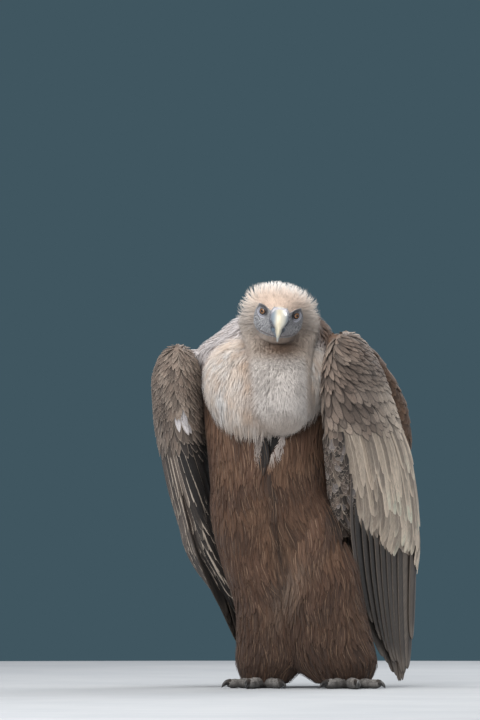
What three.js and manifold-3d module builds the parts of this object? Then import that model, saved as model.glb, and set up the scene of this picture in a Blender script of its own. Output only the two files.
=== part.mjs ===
// A griffon vulture at life size, standing hunched on flat ground with its wings hanging loose beside it.
// Millimetres, +Z up. The bird looks along -Y, and its left side is on +X. The feet stand on Z = 0.
// Its chest points 15 degrees to its own right of the way the face looks, so the body is turned by BODY_TURN.
// Every solid is the outline of the living bird, out to the tips of its down and feathers.
import * as THREE from "three";
import { mergeVertices } from "three/addons/utils/BufferGeometryUtils.js";
import Module from "manifold-3d";

const wasm = await Module();
wasm.setup();

// ---- driving dimensions ----

const GAP = 0.35; // clear space between neighbouring solids
const BODY_TURN = 15; // degrees from the way the face looks to the way the chest looks
const LEFT_WING_TURN = 31; // the left wing hangs open, with its outer face turned forwards
const RIGHT_WING_TURN = -1;

// Soft masses that hang: level rings, each [height, centre x, centre y, half across, half deep].
const TRUNK = [
  [722, -8, 8, 0, 0],
  [714, -9, 5, 56, 30],
  [697, -14, 0, 86, 48],
  [672, -20, -8, 110, 66],
  [642, -36, -14, 131, 86],
  [600, -37, -20, 130, 98],
  [540, -34, -32, 124, 108],
  [470, -33, -45, 116, 116],
  [400, -30, -42, 111, 118],
  [330, -24, -28, 108, 112],
  [260, -9, -5, 104, 98],
  [200, 3, 14, 88, 80],
  [150, 14, 32, 60, 56],
  [122, 20, 44, 0, 0],
];
const RUFF = [
  [673, -30, -72, 0, 0],
  [664, -30, -74, 62, 46],
  [640, -33, -78, 104, 72],
  [600, -36, -88, 120, 88],
  [550, -38, -98, 114, 92],
  [508, -41, -108, 86, 78],
  [483, -48, -114, 52, 50],
  [468, -56, -117, 22, 22],
  [462, -58, -118, 0, 0],
];
const NECK = [
  [746, -14, -96, 0, 0],
  [738, -14, -98, 46, 30],
  [720, -17, -102, 72, 50],
  [695, -15, -116, 78, 60],
  [655, -8, -142, 70, 64],
  [604, -7, -158, 66, 63],
  [560, -8, -164, 64, 60],
  [522, -9, -166, 59, 53],
  [496, -10, -164, 48, 42],
  [478, -10, -160, 30, 26],
  [470, -10, -158, 0, 0],
];
const LEFT_THIGH = [
  [372, 38, -72, 0, 0],
  [355, 41, -72, 36, 36],
  [310, 52, -70, 58, 52],
  [240, 64, -62, 70, 60],
  [165, 72, -46, 76, 62],
  [90, 86, -28, 80, 58],
  [48, 97, -18, 78, 54],
  [26, 104, -13, 64, 44],
];
const RIGHT_THIGH = [
  [372, -82, -50, 0, 0],
  [355, -80, -50, 34, 36],
  [310, -70, -44, 50, 52],
  [240, -54, -32, 58, 60],
  [165, -36, -14, 58, 60],
  [90, -31, 6, 62, 57],
  [48, -33, 14, 62, 52],
  [26, -36, 18, 52, 42],
];

// Wings: level rings of the whole folded wing, [height, centre x, centre y, half thickness, half chord].
const LEFT_WING = [
  [680, 113, -172, 0, 0],
  [671, 114, -170, 17, 34],
  [650, 117, -163, 29, 60],
  [610, 124, -146, 43, 84],
  [560, 133, -120, 49, 103],
  [505, 144, -92, 50, 121],
  [450, 157, -62, 49, 138],
  [385, 165, -24, 45, 150],
  [310, 171, 12, 38, 153],
  [235, 180, 38, 29, 143],
  [165, 191, 62, 20, 126],
  [95, 202, 86, 13, 102],
  [40, 211, 100, 8, 74],
  [6, 215, 107, 5, 46],
];
const RIGHT_WING = [
  [656, -203, -66, 0, 0],
  [648, -204, -62, 20, 34],
  [628, -205, -48, 36, 62],
  [590, -206, -24, 48, 90],
  [540, -203, 4, 50, 108],
  [490, -199, 30, 50, 123],
  [435, -190, 62, 48, 138],
  [375, -178, 100, 45, 148],
  [310, -164, 132, 40, 149],
  [240, -144, 156, 37, 139],
  [170, -118, 178, 31, 119],
  [95, -92, 196, 19, 95],
  [40, -70, 204, 10, 68],
  [6, -58, 206, 5, 40],
];
const LEFT_SCAPULARS = [
  [676, 90, -62, 0, 0],
  [655, 90, -52, 66, 38],
  [620, 96, -36, 92, 50],
  [580, 106, -14, 108, 54],
  [535, 118, 6, 116, 55],
  [490, 140, 24, 101, 50],
  [455, 168, 38, 73, 40],
  [430, 190, 46, 38, 26],
  [420, 194, 48, 0, 0],
];
const RIGHT_SCAPULARS = [
  [652, -136, 4, 0, 0],
  [634, -140, 10, 76, 42],
  [600, -140, 28, 99, 52],
  [555, -144, 50, 105, 56],
  [505, -156, 76, 93, 54],
  [465, -172, 98, 68, 43],
  [438, -184, 112, 38, 27],
  [428, -188, 116, 0, 0],
];
// Heights where the thick part of a folded wing stops, at its front and rear edges.
const LEFT_FOLD_END = { front: 302, rear: 206 };
const RIGHT_FOLD_END = { front: 158, rear: 136 };

// Flight feathers: place across the chord (-1 front, 1 rear), height of the tip, width.
const LEFT_SECONDARIES = [
  [-0.78, 160, 34],
  [-0.55, 102, 40],
  [-0.28, 64, 44],
  [0.02, 50, 44],
  [0.34, 34, 46],
  [0.66, 16, 46],
  [0.86, 92, 42],
];
const LEFT_PRIMARIES = [
  [-0.86, 100, 36],
  [-0.52, 60, 38],
  [-0.18, 30, 38],
  [0.2, 10, 38],
  [0.55, 5, 36],
];
const RIGHT_SECONDARIES = [
  [-0.8, 132, 34],
  [-0.55, 112, 40],
  [-0.26, 92, 44],
  [0.04, 74, 44],
  [0.34, 62, 46],
  [0.66, 84, 44],
  [0.92, 140, 40],
];
const RIGHT_PRIMARIES = [
  [-0.5, 58, 34],
  [-0.2, 32, 36],
  [0.1, 14, 36],
  [0.4, 5, 36],
];
const QUILL = { secondaryRoot: 410, primaryRoot: 330, thick: 5, secondaryLayer: 0.35, primaryLayer: -0.4 };

// Tail: a narrow fan of feathers from the rump down to the ground behind the feet.
const TAIL = {
  root: [24, 66, 252],
  tip: [86, 196, 5],
  feathers: 7,
  rootSpread: 34,
  tipSpread: 92,
  width: 36,
  thick: 6,
  roundness: 20, // how much shorter the outer feathers are
};

// Head: its own frame starts at the middle of the bill's base. [forward, up, half across, half high]
const HEAD_AT = [-11, -212, 701];
const HEAD_PITCH = 18; // the face looks down
const HEAD_ROLL = 8; // the left eye is lower
const HEAD = [
  [-112, -1, 0, 0],
  [-104, -1, 32, 28],
  [-86, -1, 51, 45],
  [-66, -2, 59, 50],
  [-48, -3, 55, 49.5],
  [-34, -5, 46, 47],
  [-22, -7, 38, 43],
  [-10, -7, 30, 35],
  [4, -4, 21, 25],
];
const UPPER_BILL = [
  [-8, 2, 17, 20],
  [6, 3, 18, 20],
  [20, 3, 18, 19],
  [34, 0, 15.5, 18],
  [46, -6, 12, 15],
  [54, -13, 8, 11],
  [59, -20, 4.5, 7.5],
  [61, -28, 0, 0],
];
const CERE = [
  [-16, 0, 19, 22],
  [-4, 2, 20.5, 22.5],
  [8, 3, 20, 21.5],
  [14, 3, 18.6, 20.5],
];
const NOSTRIL = { forward: 5, up: 8, across: 20.5, long: 5.5, high: 2.6, deep: 4 };
const LOWER_BILL = [
  [-8, -18, 15, 9],
  [10, -20, 14, 8],
  [28, -21, 12, 7],
  [42, -20, 9, 5.5],
  [51, -19, 0, 0],
];
const EYE = { forward: -25, up: 4, across: 33, radius: 9.5 };
const BROW = { forward: -25, up: 15, across: 30, long: 19, wide: 11, high: 5.5, drop: 8 };

// Legs: the bare shank comes out of the thigh's feathers, and the toes spread from a pad.
const LEFT_FOOT = { at: [122, -24], turn: 6 };
const RIGHT_FOOT = { at: [-46, 16], turn: -14 };
const SHANK = { top: 78, radius: 12, lean: [-8, 12] };
const PAD = { radius: 19, height: 25 };
const TOE_HIGH = 8.5; // height of a toe's middle line: its underside is cut flat at the ground
const TOES = [
  // name, degrees out from the way the foot points, length, radius, claw length
  ["inner", -42, 68, 10.5, 27],
  ["middle", 0, 98, 11, 25],
  ["outer", 38, 70, 9.5, 22],
  ["hind", 178, 42, 10.5, 28],
];

const RINGS_PER_STATION = 1;
const SLIVER = 0.2; // detail finer than this is merged away

// ---- shape helpers ----

const rad = THREE.MathUtils.degToRad;

// The stations as one smooth run: a Catmull-Rom spline through every number of a station.
function between(stations, share) {
  const last = stations.length - 1;
  const at = Math.min(share * last, last - 1e-9);
  const i = Math.floor(at);
  const t = at - i;
  const [p, q, r, s] = [i - 1, i, i + 1, i + 2].map((k) => stations[THREE.MathUtils.clamp(k, 0, last)]);
  return q.map(
    (_, k) =>
      0.5 *
      (2 * q[k] +
        (r[k] - p[k]) * t +
        (2 * p[k] - 5 * q[k] + 4 * r[k] - s[k]) * t * t +
        (3 * q[k] - p[k] - 3 * r[k] + s[k]) * t * t * t),
  );
}

// A closed solid through rings of points. The ends are closed to the middle of the first and last ring.
function skinned(rings) {
  const around = rings[0].length;
  const points = rings.flat();
  const middle = (ring) =>
    ring.reduce((sum, p) => sum.add(p), new THREE.Vector3()).divideScalar(ring.length);
  const first = points.push(middle(rings[0])) - 1;
  const last = points.push(middle(rings.at(-1))) - 1;
  const faces = [];
  for (let j = 0; j < around; j++) {
    const k = (j + 1) % around;
    const end = (rings.length - 1) * around;
    faces.push([first, k, j], [last, end + j, end + k]);
    for (let i = 0; i + 1 < rings.length; i++) {
      const a = i * around;
      const b = a + around;
      faces.push([a + j, a + k, b + k], [a + j, b + k, b + j]);
    }
  }
  return asSolid(points, faces);
}

// Points and triangles as one solid with its faces pointing out.
function asSolid(points, faces) {
  const geometry = new THREE.BufferGeometry();
  geometry.setAttribute("position", new THREE.Float32BufferAttribute(points.flatMap((p) => p.toArray()), 3));
  geometry.setIndex(faces.flat());
  const merged = mergeVertices(geometry, 1e-3);
  const index = merged.index.array;
  const kept = [];
  for (let i = 0; i < index.length; i += 3) {
    const [a, b, c] = index.slice(i, i + 3);
    if (a !== b && b !== c && c !== a) kept.push([a, b, c]);
  }
  const at = (i) => new THREE.Vector3().fromBufferAttribute(merged.attributes.position, i);
  const volume = kept.reduce((sum, [a, b, c]) => sum + at(a).dot(at(b).cross(at(c))), 0);
  const facing = volume > 0 ? kept : kept.map(([a, b, c]) => [a, c, b]);
  return new wasm.Manifold(
    new wasm.Mesh({
      numProp: 3,
      vertProperties: merged.attributes.position.array,
      triVerts: new Uint32Array(facing.flat()),
    }),
  );
}

// Rings across a run of stations. place(numbers, angle, grow) gives a ring's point.
function tube(stations, sides, place, grow = 0) {
  const count = Math.ceil((stations.length - 1) * RINGS_PER_STATION);
  const rings = [];
  for (let i = 0; i <= count; i++) {
    const numbers = between(stations, i / count);
    const angles = Array.from({ length: sides }, (_, j) => (2 * Math.PI * j) / sides);
    rings.push(angles.map((angle) => place(numbers, angle, grow, i === 0, i === count)));
  }
  return skinned(rings);
}

// A mass made of level rings, turned about Z. A closed end moves out by grow, and a tilt drops the rear edge.
function hanging(stations, turn, sides, tilt = () => 0) {
  const across = new THREE.Vector2(Math.cos(rad(turn)), -Math.sin(rad(turn)));
  const back = new THREE.Vector2(Math.sin(rad(turn)), Math.cos(rad(turn)));
  return (grow = 0) =>
    tube(
      stations,
      sides,
      ([z, x, y, a, b], angle, more, isFirst, isLast) => {
        const closed = a < 0.01;
        const u = closed ? 0 : (a + more) * Math.cos(angle);
        const v = closed ? 0 : (b + more) * Math.sin(angle);
        const end = (isFirst ? more : 0) - (isLast ? more : 0);
        return new THREE.Vector3(
          x + across.x * u + back.x * v,
          y + across.y * u + back.y * v,
          z + end - tilt(z) * v,
        );
      },
      grow,
    );
}

// A frame of its own for the head or a toe: forward, left and up as unit vectors.
function frameOf(origin, turn, pitch, roll) {
  const turned = new THREE.Matrix4().makeRotationFromEuler(
    new THREE.Euler(rad(pitch), rad(roll), rad(turn), "ZXY"),
  );
  const [left, back, up] = [new THREE.Vector3(), new THREE.Vector3(), new THREE.Vector3()];
  turned.extractBasis(left, back, up);
  const start = new THREE.Vector3(...origin);
  return (forward, across, high) =>
    start.clone().addScaledVector(back, -forward).addScaledVector(left, across).addScaledVector(up, high);
}

// A mass made of upright rings along a frame's forward way. squareness over 1 fills out the corners.
function lying(stations, frame, sides, squareness = 1) {
  return (grow = 0) =>
    tube(
      stations,
      sides,
      ([forward, up, a, b], angle, more, isFirst, isLast) => {
        const closed = a < 0.01;
        const shaped = (s) => Math.sign(s) * Math.abs(s) ** (1 / squareness);
        const u = closed ? 0 : (a + more) * shaped(Math.cos(angle));
        const v = closed ? 0 : (b + more) * shaped(Math.sin(angle));
        return frame(forward + (isLast ? more : 0) - (isFirst ? more : 0), u, up + v);
      },
      grow,
    );
}

// A round rod along a path, with a radius at each point.
function rod(path, radii, sides) {
  return (grow = 0) => {
    const rings = path.map((p, i) => {
      const along = path[Math.min(i + 1, path.length - 1)].clone().sub(path[Math.max(i - 1, 0)]).normalize();
      const side = new THREE.Vector3(0, 0, 1).cross(along);
      if (side.length() < 0.1) side.set(1, 0, 0);
      side.normalize();
      const up = along.clone().cross(side);
      const out = i === 0 ? -grow : i === path.length - 1 ? grow : 0;
      const middle = p.clone().addScaledVector(along, out);
      return Array.from({ length: sides }, (_, j) => {
        const angle = (2 * Math.PI * (j + 0.5)) / sides;
        const r = radii[i] + grow;
        return middle
          .clone()
          .addScaledVector(side, r * Math.cos(angle))
          .addScaledVector(up, r * Math.sin(angle));
      });
    });
    return skinned(rings);
  };
}

// One flight feather as a thin lens-shaped blade along a path, with its flat side across the given direction.
function blade(path, side, width, thick) {
  const profile = [0.45, 0.75, 1, 1, 0.72, 0.12]; // share of the full width along the feather
  const face = side.clone().cross(path.at(-1).clone().sub(path[0])).normalize();
  return (grow = 0) => {
    const rings = profile.map((share, i) => {
      const along = (i / (profile.length - 1)) * (path.length - 1);
      const k = Math.min(Math.floor(along), path.length - 2);
      const middle = path[k].clone().lerp(path[k + 1], along - k);
      const w = (share * width) / 2 + grow;
      const t = (thick / 2) * (0.4 + 0.6 * share) + grow;
      return [
        [-w, 0],
        [-0.5 * w, -t],
        [0.5 * w, -t],
        [w, 0],
        [0.5 * w, t],
        [-0.5 * w, t],
      ].map(([u, v]) => middle.clone().addScaledVector(side, u).addScaledVector(face, v));
    });
    return skinned(rings);
  };
}

const joined = (blades) => (grow = 0) => blades.map((b) => b(grow)).reduce((all, b) => all.add(b));

// ---- the bird's solids, each a function of how far it is grown ----

const trunk = hanging(TRUNK, BODY_TURN, 22);
const ruff = hanging(RUFF, BODY_TURN, 20);
const neck = hanging(NECK, 0, 18);
const leftThigh = hanging(LEFT_THIGH, BODY_TURN, 16);
const rightThigh = hanging(RIGHT_THIGH, BODY_TURN, 16);

const headFrame = frameOf(HEAD_AT, 0, HEAD_PITCH, HEAD_ROLL);

// An egg in the head's frame: its middle, then half its length forward, across and up. lean lowers its front.
function egg([forward, across, up], [long, wide, high], lean = 0) {
  const slices = [-1, -0.86, -0.5, 0, 0.5, 0.86, 1];
  const rings = slices.map((d) => {
    const round = Math.sqrt(1 - d * d);
    return [forward + long * d, up - lean * d, wide * round, high * round];
  });
  return lying(rings, (f, u, v) => headFrame(f, across + u, v), 10);
}
const eye = (side) => egg([EYE.forward, side * EYE.across, EYE.up], Array(3).fill(EYE.radius));
const brow = (side) =>
  egg([BROW.forward, side * BROW.across, BROW.up], [BROW.long, BROW.wide, BROW.high], BROW.drop);
const nostril = (side) =>
  egg([NOSTRIL.forward, side * NOSTRIL.across, NOSTRIL.up], [NOSTRIL.long, NOSTRIL.deep, NOSTRIL.high]);

const crown = lying(HEAD, headFrame, 20, 1.12);
const head = (grow = 0) => crown(grow).add(brow(1)(grow)).add(brow(-1)(grow));
const upperBill = lying(UPPER_BILL, headFrame, 14, 1.1);
const lowerBill = lying(LOWER_BILL, headFrame, 12);
const sheath = lying(CERE, headFrame, 14, 1.1);
const cere = (grow = 0) => sheath(grow).subtract(nostril(1)(-grow)).subtract(nostril(-1)(-grow));

// The thick part of a wing: the upper stations, ending on a line that drops towards the rear.
function folded(stations, turn, { front: frontEnd, rear: rearEnd }) {
  const middle = (frontEnd + rearEnd) / 2;
  const upper = stations.filter(([z]) => z > middle + 30);
  const end = between(stations, (stations.findIndex(([z]) => z < middle) - 0.3) / (stations.length - 1));
  const slope = (frontEnd - rearEnd) / (2 * end[4]);
  const thin = [middle, end[1], end[2], 9, end[4] * 0.96];
  const top = stations[0][0];
  const tilt = (z) => slope * THREE.MathUtils.smoothstep(top - z, 120, top - middle);
  return hanging([...upper, thin], turn, 20, tilt);
}
const leftFold = folded(LEFT_WING, LEFT_WING_TURN, LEFT_FOLD_END);
const rightFold = folded(RIGHT_WING, RIGHT_WING_TURN, RIGHT_FOLD_END);
const leftScapulars = hanging(LEFT_SCAPULARS, BODY_TURN, 16);
const rightScapulars = hanging(RIGHT_SCAPULARS, BODY_TURN, 16);

// A wing's long feathers, each running down the wing at its own place across the chord and depth of the wing.
function quills(stations, turn, list, root, layer) {
  const across = new THREE.Vector3(Math.cos(rad(turn)), -Math.sin(rad(turn)), 0);
  const back = new THREE.Vector3(Math.sin(rad(turn)), Math.cos(rad(turn)), 0);
  const shareAt = (z) => {
    let i = 0;
    while (i < stations.length - 2 && stations[i + 1][0] > z) i++;
    const [above, below] = [stations[i][0], stations[i + 1][0]];
    return (i + THREE.MathUtils.clamp((above - z) / (above - below), 0, 1)) / (stations.length - 1);
  };
  const outward = Math.sign(stations[0][1]); // the thickness runs outwards on +X for the left wing
  return joined(
    list.map(([place, tip, width]) => {
      const steps = [0, 0.25, 0.5, 0.75, 1];
      const path = steps.map((s) => {
        const z = THREE.MathUtils.lerp(root, tip, s);
        const [, x, y, thick, chord] = between(stations, shareAt(z));
        return new THREE.Vector3(x, y, z)
          .addScaledVector(back, place * (chord - width / 3))
          .addScaledVector(across, outward * layer * thick);
      });
      return blade(path, back, width, QUILL.thick);
    }),
  );
}
const { secondaryRoot, primaryRoot, secondaryLayer, primaryLayer } = QUILL;
const [left, right] = [
  [LEFT_WING, LEFT_WING_TURN],
  [RIGHT_WING, RIGHT_WING_TURN],
];
const leftSecondaries = quills(...left, LEFT_SECONDARIES, secondaryRoot, secondaryLayer);
const rightSecondaries = quills(...right, RIGHT_SECONDARIES, secondaryRoot, secondaryLayer);
const leftPrimaries = quills(...left, LEFT_PRIMARIES, primaryRoot, primaryLayer);
const rightPrimaries = quills(...right, RIGHT_PRIMARIES, primaryRoot, primaryLayer);

const tail = (() => {
  const side = new THREE.Vector3(Math.cos(rad(BODY_TURN)), -Math.sin(rad(BODY_TURN)), 0);
  const [root, tip] = [new THREE.Vector3(...TAIL.root), new THREE.Vector3(...TAIL.tip)];
  const along = tip.clone().sub(root).normalize();
  const blades = Array.from({ length: TAIL.feathers }, (_, i) => {
    const out = (2 * i) / (TAIL.feathers - 1) - 1;
    const from = root.clone().addScaledVector(side, (out * TAIL.rootSpread) / 2);
    const to = tip
      .clone()
      .addScaledVector(side, (out * TAIL.tipSpread) / 2)
      .addScaledVector(along, -TAIL.roundness * out * out);
    return blade([from, to], side, TAIL.width, TAIL.thick);
  });
  return joined(blades);
})();

const ground = (() => {
  const box = new THREE.BoxGeometry(2000, 2000, 100).deleteAttribute("normal").deleteAttribute("uv");
  const slab = mergeVertices(box.translate(0, 0, -50));
  return new wasm.Manifold(
    new wasm.Mesh({
      numProp: 3,
      vertProperties: slab.attributes.position.array,
      triVerts: new Uint32Array(slab.index.array),
    }),
  );
})();

// One foot: a shank, a pad and four toes with their claws. name is left or right, and side is 1 or -1.
function footOf(name, { at: [x, y], turn }, side) {
  const [leanX, leanY] = SHANK.lean;
  const shankPath = [
    new THREE.Vector3(x + side * leanX, y + leanY, SHANK.top),
    new THREE.Vector3(x + (side * leanX) / 2, y + leanY / 2, SHANK.top / 2 + PAD.height / 2),
    new THREE.Vector3(x, y, PAD.height - 4),
  ];
  const shank = rod(shankPath, [SHANK.radius, SHANK.radius * 0.92, SHANK.radius * 1.1], 12);
  const padRings = [
    [PAD.height, x, y, 0, 0],
    [PAD.height - 3, x, y, PAD.radius * 0.62, PAD.radius * 0.62],
    [PAD.height * 0.5, x, y, PAD.radius, PAD.radius],
    [0, x, y, PAD.radius * 0.86, PAD.radius * 0.86],
  ];
  const pad = hanging(padRings, 0, 16);
  const toes = TOES.map(([toeName, out, length, radius, clawLength]) => {
    const heading = rad(turn + side * out);
    const way = new THREE.Vector3(Math.sin(heading), -Math.cos(heading), 0);
    const point = (reach, high) => new THREE.Vector3(x, y, high).addScaledVector(way, reach);
    const reach = (share) => PAD.radius * 0.5 + length * share;
    const knuckles = [0, 0.16, 0.32, 0.48, 0.64, 0.8, 0.92, 1];
    const swell = [1, 1.02, 0.9, 1, 0.84, 0.94, 0.8, 0.6];
    const toe = rod(
      knuckles.map((share) => point(reach(share), TOE_HIGH + 1.5 * (1 - share))),
      swell.map((s) => s * radius),
      8,
    );
    const claw = rod(
      [0, 0.3, 0.6, 0.85, 1].map((s) => {
        const high = 1.2 + (TOE_HIGH + 3) * Math.cos(s * 1.55);
        return point(reach(0.93) + clawLength * Math.sin(s * 1.25), high);
      }),
      [0.44, 0.4, 0.29, 0.15, 0.03].map((s) => s * radius * 1.15),
      6,
    );
    return { toeName, toe, claw };
  });
  return { name, shank, pad, toes };
}
const feet = [footOf("left", LEFT_FOOT, 1), footOf("right", RIGHT_FOOT, -1)];

// ---- the named pieces: each is cut back from those before it ----

const finish = (color, roughness) => new THREE.MeshStandardMaterial({ color, roughness, metalness: 0 });
const MATERIALS = {
  down: finish(0xe6d9cb, 0.95),
  body: finish(0x6d584a, 0.9),
  coverts: finish(0x8d8078, 0.85),
  quills: finish(0x3b3634, 0.7),
  bill: finish(0xd9d5c8, 0.35),
  billDark: finish(0x5a6068, 0.45),
  eye: finish(0x6b4a2c, 0.08),
  foot: finish(0x77706c, 0.75),
  claw: finish(0x2b2827, 0.4),
};

const bird = new THREE.Group();

// Adds the largest body left of a solid after the cuts, as a mesh of that name.
function add(name, material, shape, ...cutters) {
  const cut = cutters.reduce((solid, cutter) => solid.subtract(cutter(GAP)), shape(0)).subtract(ground);
  const bodies = cut.decompose();
  const largest = bodies.reduce((best, body) => (body.volume() > best.volume() ? body : best));
  const { numProp, vertProperties, triVerts } = largest.simplify(SLIVER).getMesh();
  const position = new Float32Array((vertProperties.length / numProp) * 3);
  for (let i = 0; i < position.length / 3; i++) {
    position.set(vertProperties.subarray(i * numProp, i * numProp + 3), i * 3);
  }
  const geometry = new THREE.BufferGeometry();
  geometry.setAttribute("position", new THREE.BufferAttribute(position, 3));
  geometry.setIndex(new THREE.BufferAttribute(triVerts, 1));
  geometry.computeVertexNormals();
  const mesh = new THREE.Mesh(geometry, MATERIALS[material]);
  mesh.name = name;
  bird.add(mesh);
}

const eyes = [eye(1), eye(-1)];
const bills = [cere, upperBill, lowerBill];
const front = [head, neck, ruff, ...bills];

add("eye_left", "eye", eyes[0]);
add("eye_right", "eye", eyes[1]);
add("cere", "billDark", cere);
add("bill_upper", "bill", upperBill, cere);
add("bill_lower", "billDark", lowerBill, upperBill, cere);
add("head", "down", head, ...eyes, ...bills);
add("neck", "down", neck, head, ...bills);
add("ruff", "down", ruff, neck, head);
add("trunk", "body", trunk, ruff, neck, head);
add("thigh_left", "body", leftThigh, trunk);
add("thigh_right", "body", rightThigh, trunk, leftThigh);

const wings = [
  ["left", leftFold, leftScapulars, leftSecondaries, leftPrimaries],
  ["right", rightFold, rightScapulars, rightSecondaries, rightPrimaries],
];
const core = [trunk, leftThigh, rightThigh, ...front];
for (const [side, fold, scapulars, secondaries, primaries] of wings) {
  add(`wing_${side}_fold`, "coverts", fold, ...core);
  add(`wing_${side}_scapulars`, "body", scapulars, fold, ...core);
  add(`wing_${side}_secondaries`, "quills", secondaries, fold, ...core);
  add(`wing_${side}_primaries`, "quills", primaries, secondaries, fold, ...core);
}
const quillSolids = wings.flatMap(([, fold, , secondaries, primaries]) => [fold, secondaries, primaries]);
add("tail", "quills", tail, trunk, leftThigh, rightThigh, ...quillSolids);

for (const { name, shank, pad, toes } of feet) {
  add(`foot_${name}`, "foot", pad);
  add(`shank_${name}`, "foot", shank, pad, leftThigh, rightThigh);
  toes.forEach(({ toeName, toe, claw }, i) => {
    add(`toe_${name}_${toeName}`, "foot", toe, pad, shank, ...toes.slice(0, i).map((other) => other.toe));
    add(`claw_${name}_${toeName}`, "claw", claw, toe);
  });
}

// The origin is on the ground, under the middle of the bird's box.
const box = new THREE.Box3().setFromObject(bird, true);
const middle = box.getCenter(new THREE.Vector3());
bird.position.set(-middle.x, -middle.y, -box.min.z);

export default bird;
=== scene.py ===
"""A griffon vulture at life size: its skin, down, feathers, bill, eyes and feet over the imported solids."""

import math
from functools import partial

import bpy
import mathutils
import numpy as np
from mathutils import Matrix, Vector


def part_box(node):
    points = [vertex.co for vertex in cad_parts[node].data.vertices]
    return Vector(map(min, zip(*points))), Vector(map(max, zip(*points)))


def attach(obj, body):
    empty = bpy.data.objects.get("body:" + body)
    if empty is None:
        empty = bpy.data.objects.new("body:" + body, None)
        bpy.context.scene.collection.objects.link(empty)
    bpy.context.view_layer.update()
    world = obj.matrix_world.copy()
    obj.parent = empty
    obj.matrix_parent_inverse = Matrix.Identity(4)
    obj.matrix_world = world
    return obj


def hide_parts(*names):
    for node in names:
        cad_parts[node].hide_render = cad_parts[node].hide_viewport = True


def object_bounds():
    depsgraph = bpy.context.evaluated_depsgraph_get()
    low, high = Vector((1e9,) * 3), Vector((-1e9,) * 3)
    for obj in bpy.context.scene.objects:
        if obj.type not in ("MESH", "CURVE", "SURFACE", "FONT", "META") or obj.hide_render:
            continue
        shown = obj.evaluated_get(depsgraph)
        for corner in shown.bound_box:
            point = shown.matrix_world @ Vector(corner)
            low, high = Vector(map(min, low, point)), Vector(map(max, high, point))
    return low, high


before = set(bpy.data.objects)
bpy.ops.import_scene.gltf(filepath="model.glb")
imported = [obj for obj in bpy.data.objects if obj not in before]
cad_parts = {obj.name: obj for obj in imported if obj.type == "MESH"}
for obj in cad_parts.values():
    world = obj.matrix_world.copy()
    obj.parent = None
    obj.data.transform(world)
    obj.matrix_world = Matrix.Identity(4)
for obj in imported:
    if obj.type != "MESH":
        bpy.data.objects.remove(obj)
cad_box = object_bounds()

rng = np.random.default_rng(11)
MM = 0.001

# ---- the bird's masses, in millimetres from the middle of its stance ----

BODY_TURN = 15.0
LEFT_WING_TURN = 31.0
RIGHT_WING_TURN = -1.0

# Level rings: height, centre x, centre y, half across, half deep.
TRUNK = [
    (722, -8, -34, 0, 0), (714, -9, -33, 56, 28), (697, -14, -30, 86, 46), (672, -20, -27, 110, 62),
    (642, -36, -24, 131, 82), (600, -37, -24, 130, 97), (540, -34, -32, 124, 108), (470, -33, -45, 116, 116),
    (400, -30, -42, 111, 118), (330, -24, -28, 108, 112), (260, -9, -5, 104, 98), (200, 3, 14, 88, 80),
    (150, 14, 32, 60, 56), (122, 20, 44, 0, 0),
]
RUFF = [
    (673, -30, -72, 0, 0), (664, -30, -74, 62, 46), (640, -33, -78, 104, 72), (600, -36, -88, 120, 88),
    (550, -38, -98, 114, 92), (508, -41, -108, 86, 78), (483, -48, -114, 52, 50), (468, -56, -117, 22, 22),
    (462, -58, -118, 0, 0),
]
NECK = [
    (744, -14, -90, 0, 0), (736, -14, -92, 40, 27), (720, -16, -96, 60, 44), (695, -15, -104, 70, 50),
    (664, -12, -118, 68, 44), (640, -12, -132, 63, 51), (604, -12, -151, 61, 61), (560, -12, -162, 60, 60),
    (526, -12, -166, 57, 53), (505, -12, -164, 47, 42), (489, -11, -160, 30, 26), (482, -11, -158, 0, 0),
]
LEFT_THIGH = [
    (372, 38, -72, 0, 0), (355, 41, -72, 36, 36), (310, 52, -70, 58, 52), (240, 64, -62, 70, 60),
    (165, 72, -46, 76, 62), (90, 86, -28, 80, 58), (48, 97, -18, 78, 54), (26, 104, -13, 64, 44),
]
RIGHT_THIGH = [
    (372, -82, -50, 0, 0), (355, -80, -50, 34, 36), (310, -70, -44, 50, 52), (240, -54, -32, 58, 60),
    (165, -36, -14, 58, 60), (90, -31, 6, 62, 57), (48, -33, 14, 62, 52), (26, -36, 18, 52, 42),
]
LEFT_WING = [
    (680, 113, -172, 0, 0), (671, 114, -170, 17, 34), (650, 117, -163, 29, 60), (610, 124, -146, 43, 84),
    (560, 133, -120, 49, 103), (505, 144, -92, 50, 121), (450, 157, -62, 49, 138), (385, 165, -24, 45, 150),
    (310, 171, 12, 38, 153), (235, 180, 38, 29, 143), (165, 191, 62, 20, 126), (95, 202, 86, 13, 102),
    (40, 211, 100, 8, 74), (6, 215, 107, 5, 46),
]
RIGHT_WING = [
    (656, -203, -66, 0, 0), (648, -204, -62, 20, 34), (628, -205, -48, 36, 62), (590, -206, -24, 48, 90),
    (540, -203, 4, 50, 108), (490, -199, 30, 50, 123), (435, -190, 62, 48, 138), (375, -178, 100, 45, 148),
    (310, -164, 132, 40, 149), (240, -144, 156, 37, 139), (170, -118, 178, 31, 119), (95, -92, 196, 19, 95),
    (40, -70, 204, 10, 68), (6, -58, 206, 5, 40),
]
LEFT_SCAPULARS = [
    (676, 90, -62, 0, 0), (655, 90, -52, 66, 38), (620, 96, -36, 92, 50), (580, 106, -14, 108, 54),
    (535, 118, 6, 116, 55), (490, 140, 24, 101, 50), (455, 168, 38, 73, 40), (430, 190, 46, 38, 26),
    (420, 194, 48, 0, 0),
]
RIGHT_SCAPULARS = [
    (652, -136, 4, 0, 0), (634, -140, 10, 76, 42), (600, -140, 28, 99, 52), (555, -144, 50, 105, 56),
    (505, -156, 76, 93, 54), (465, -172, 98, 68, 43), (438, -184, 112, 38, 27), (428, -188, 116, 0, 0),
]
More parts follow.
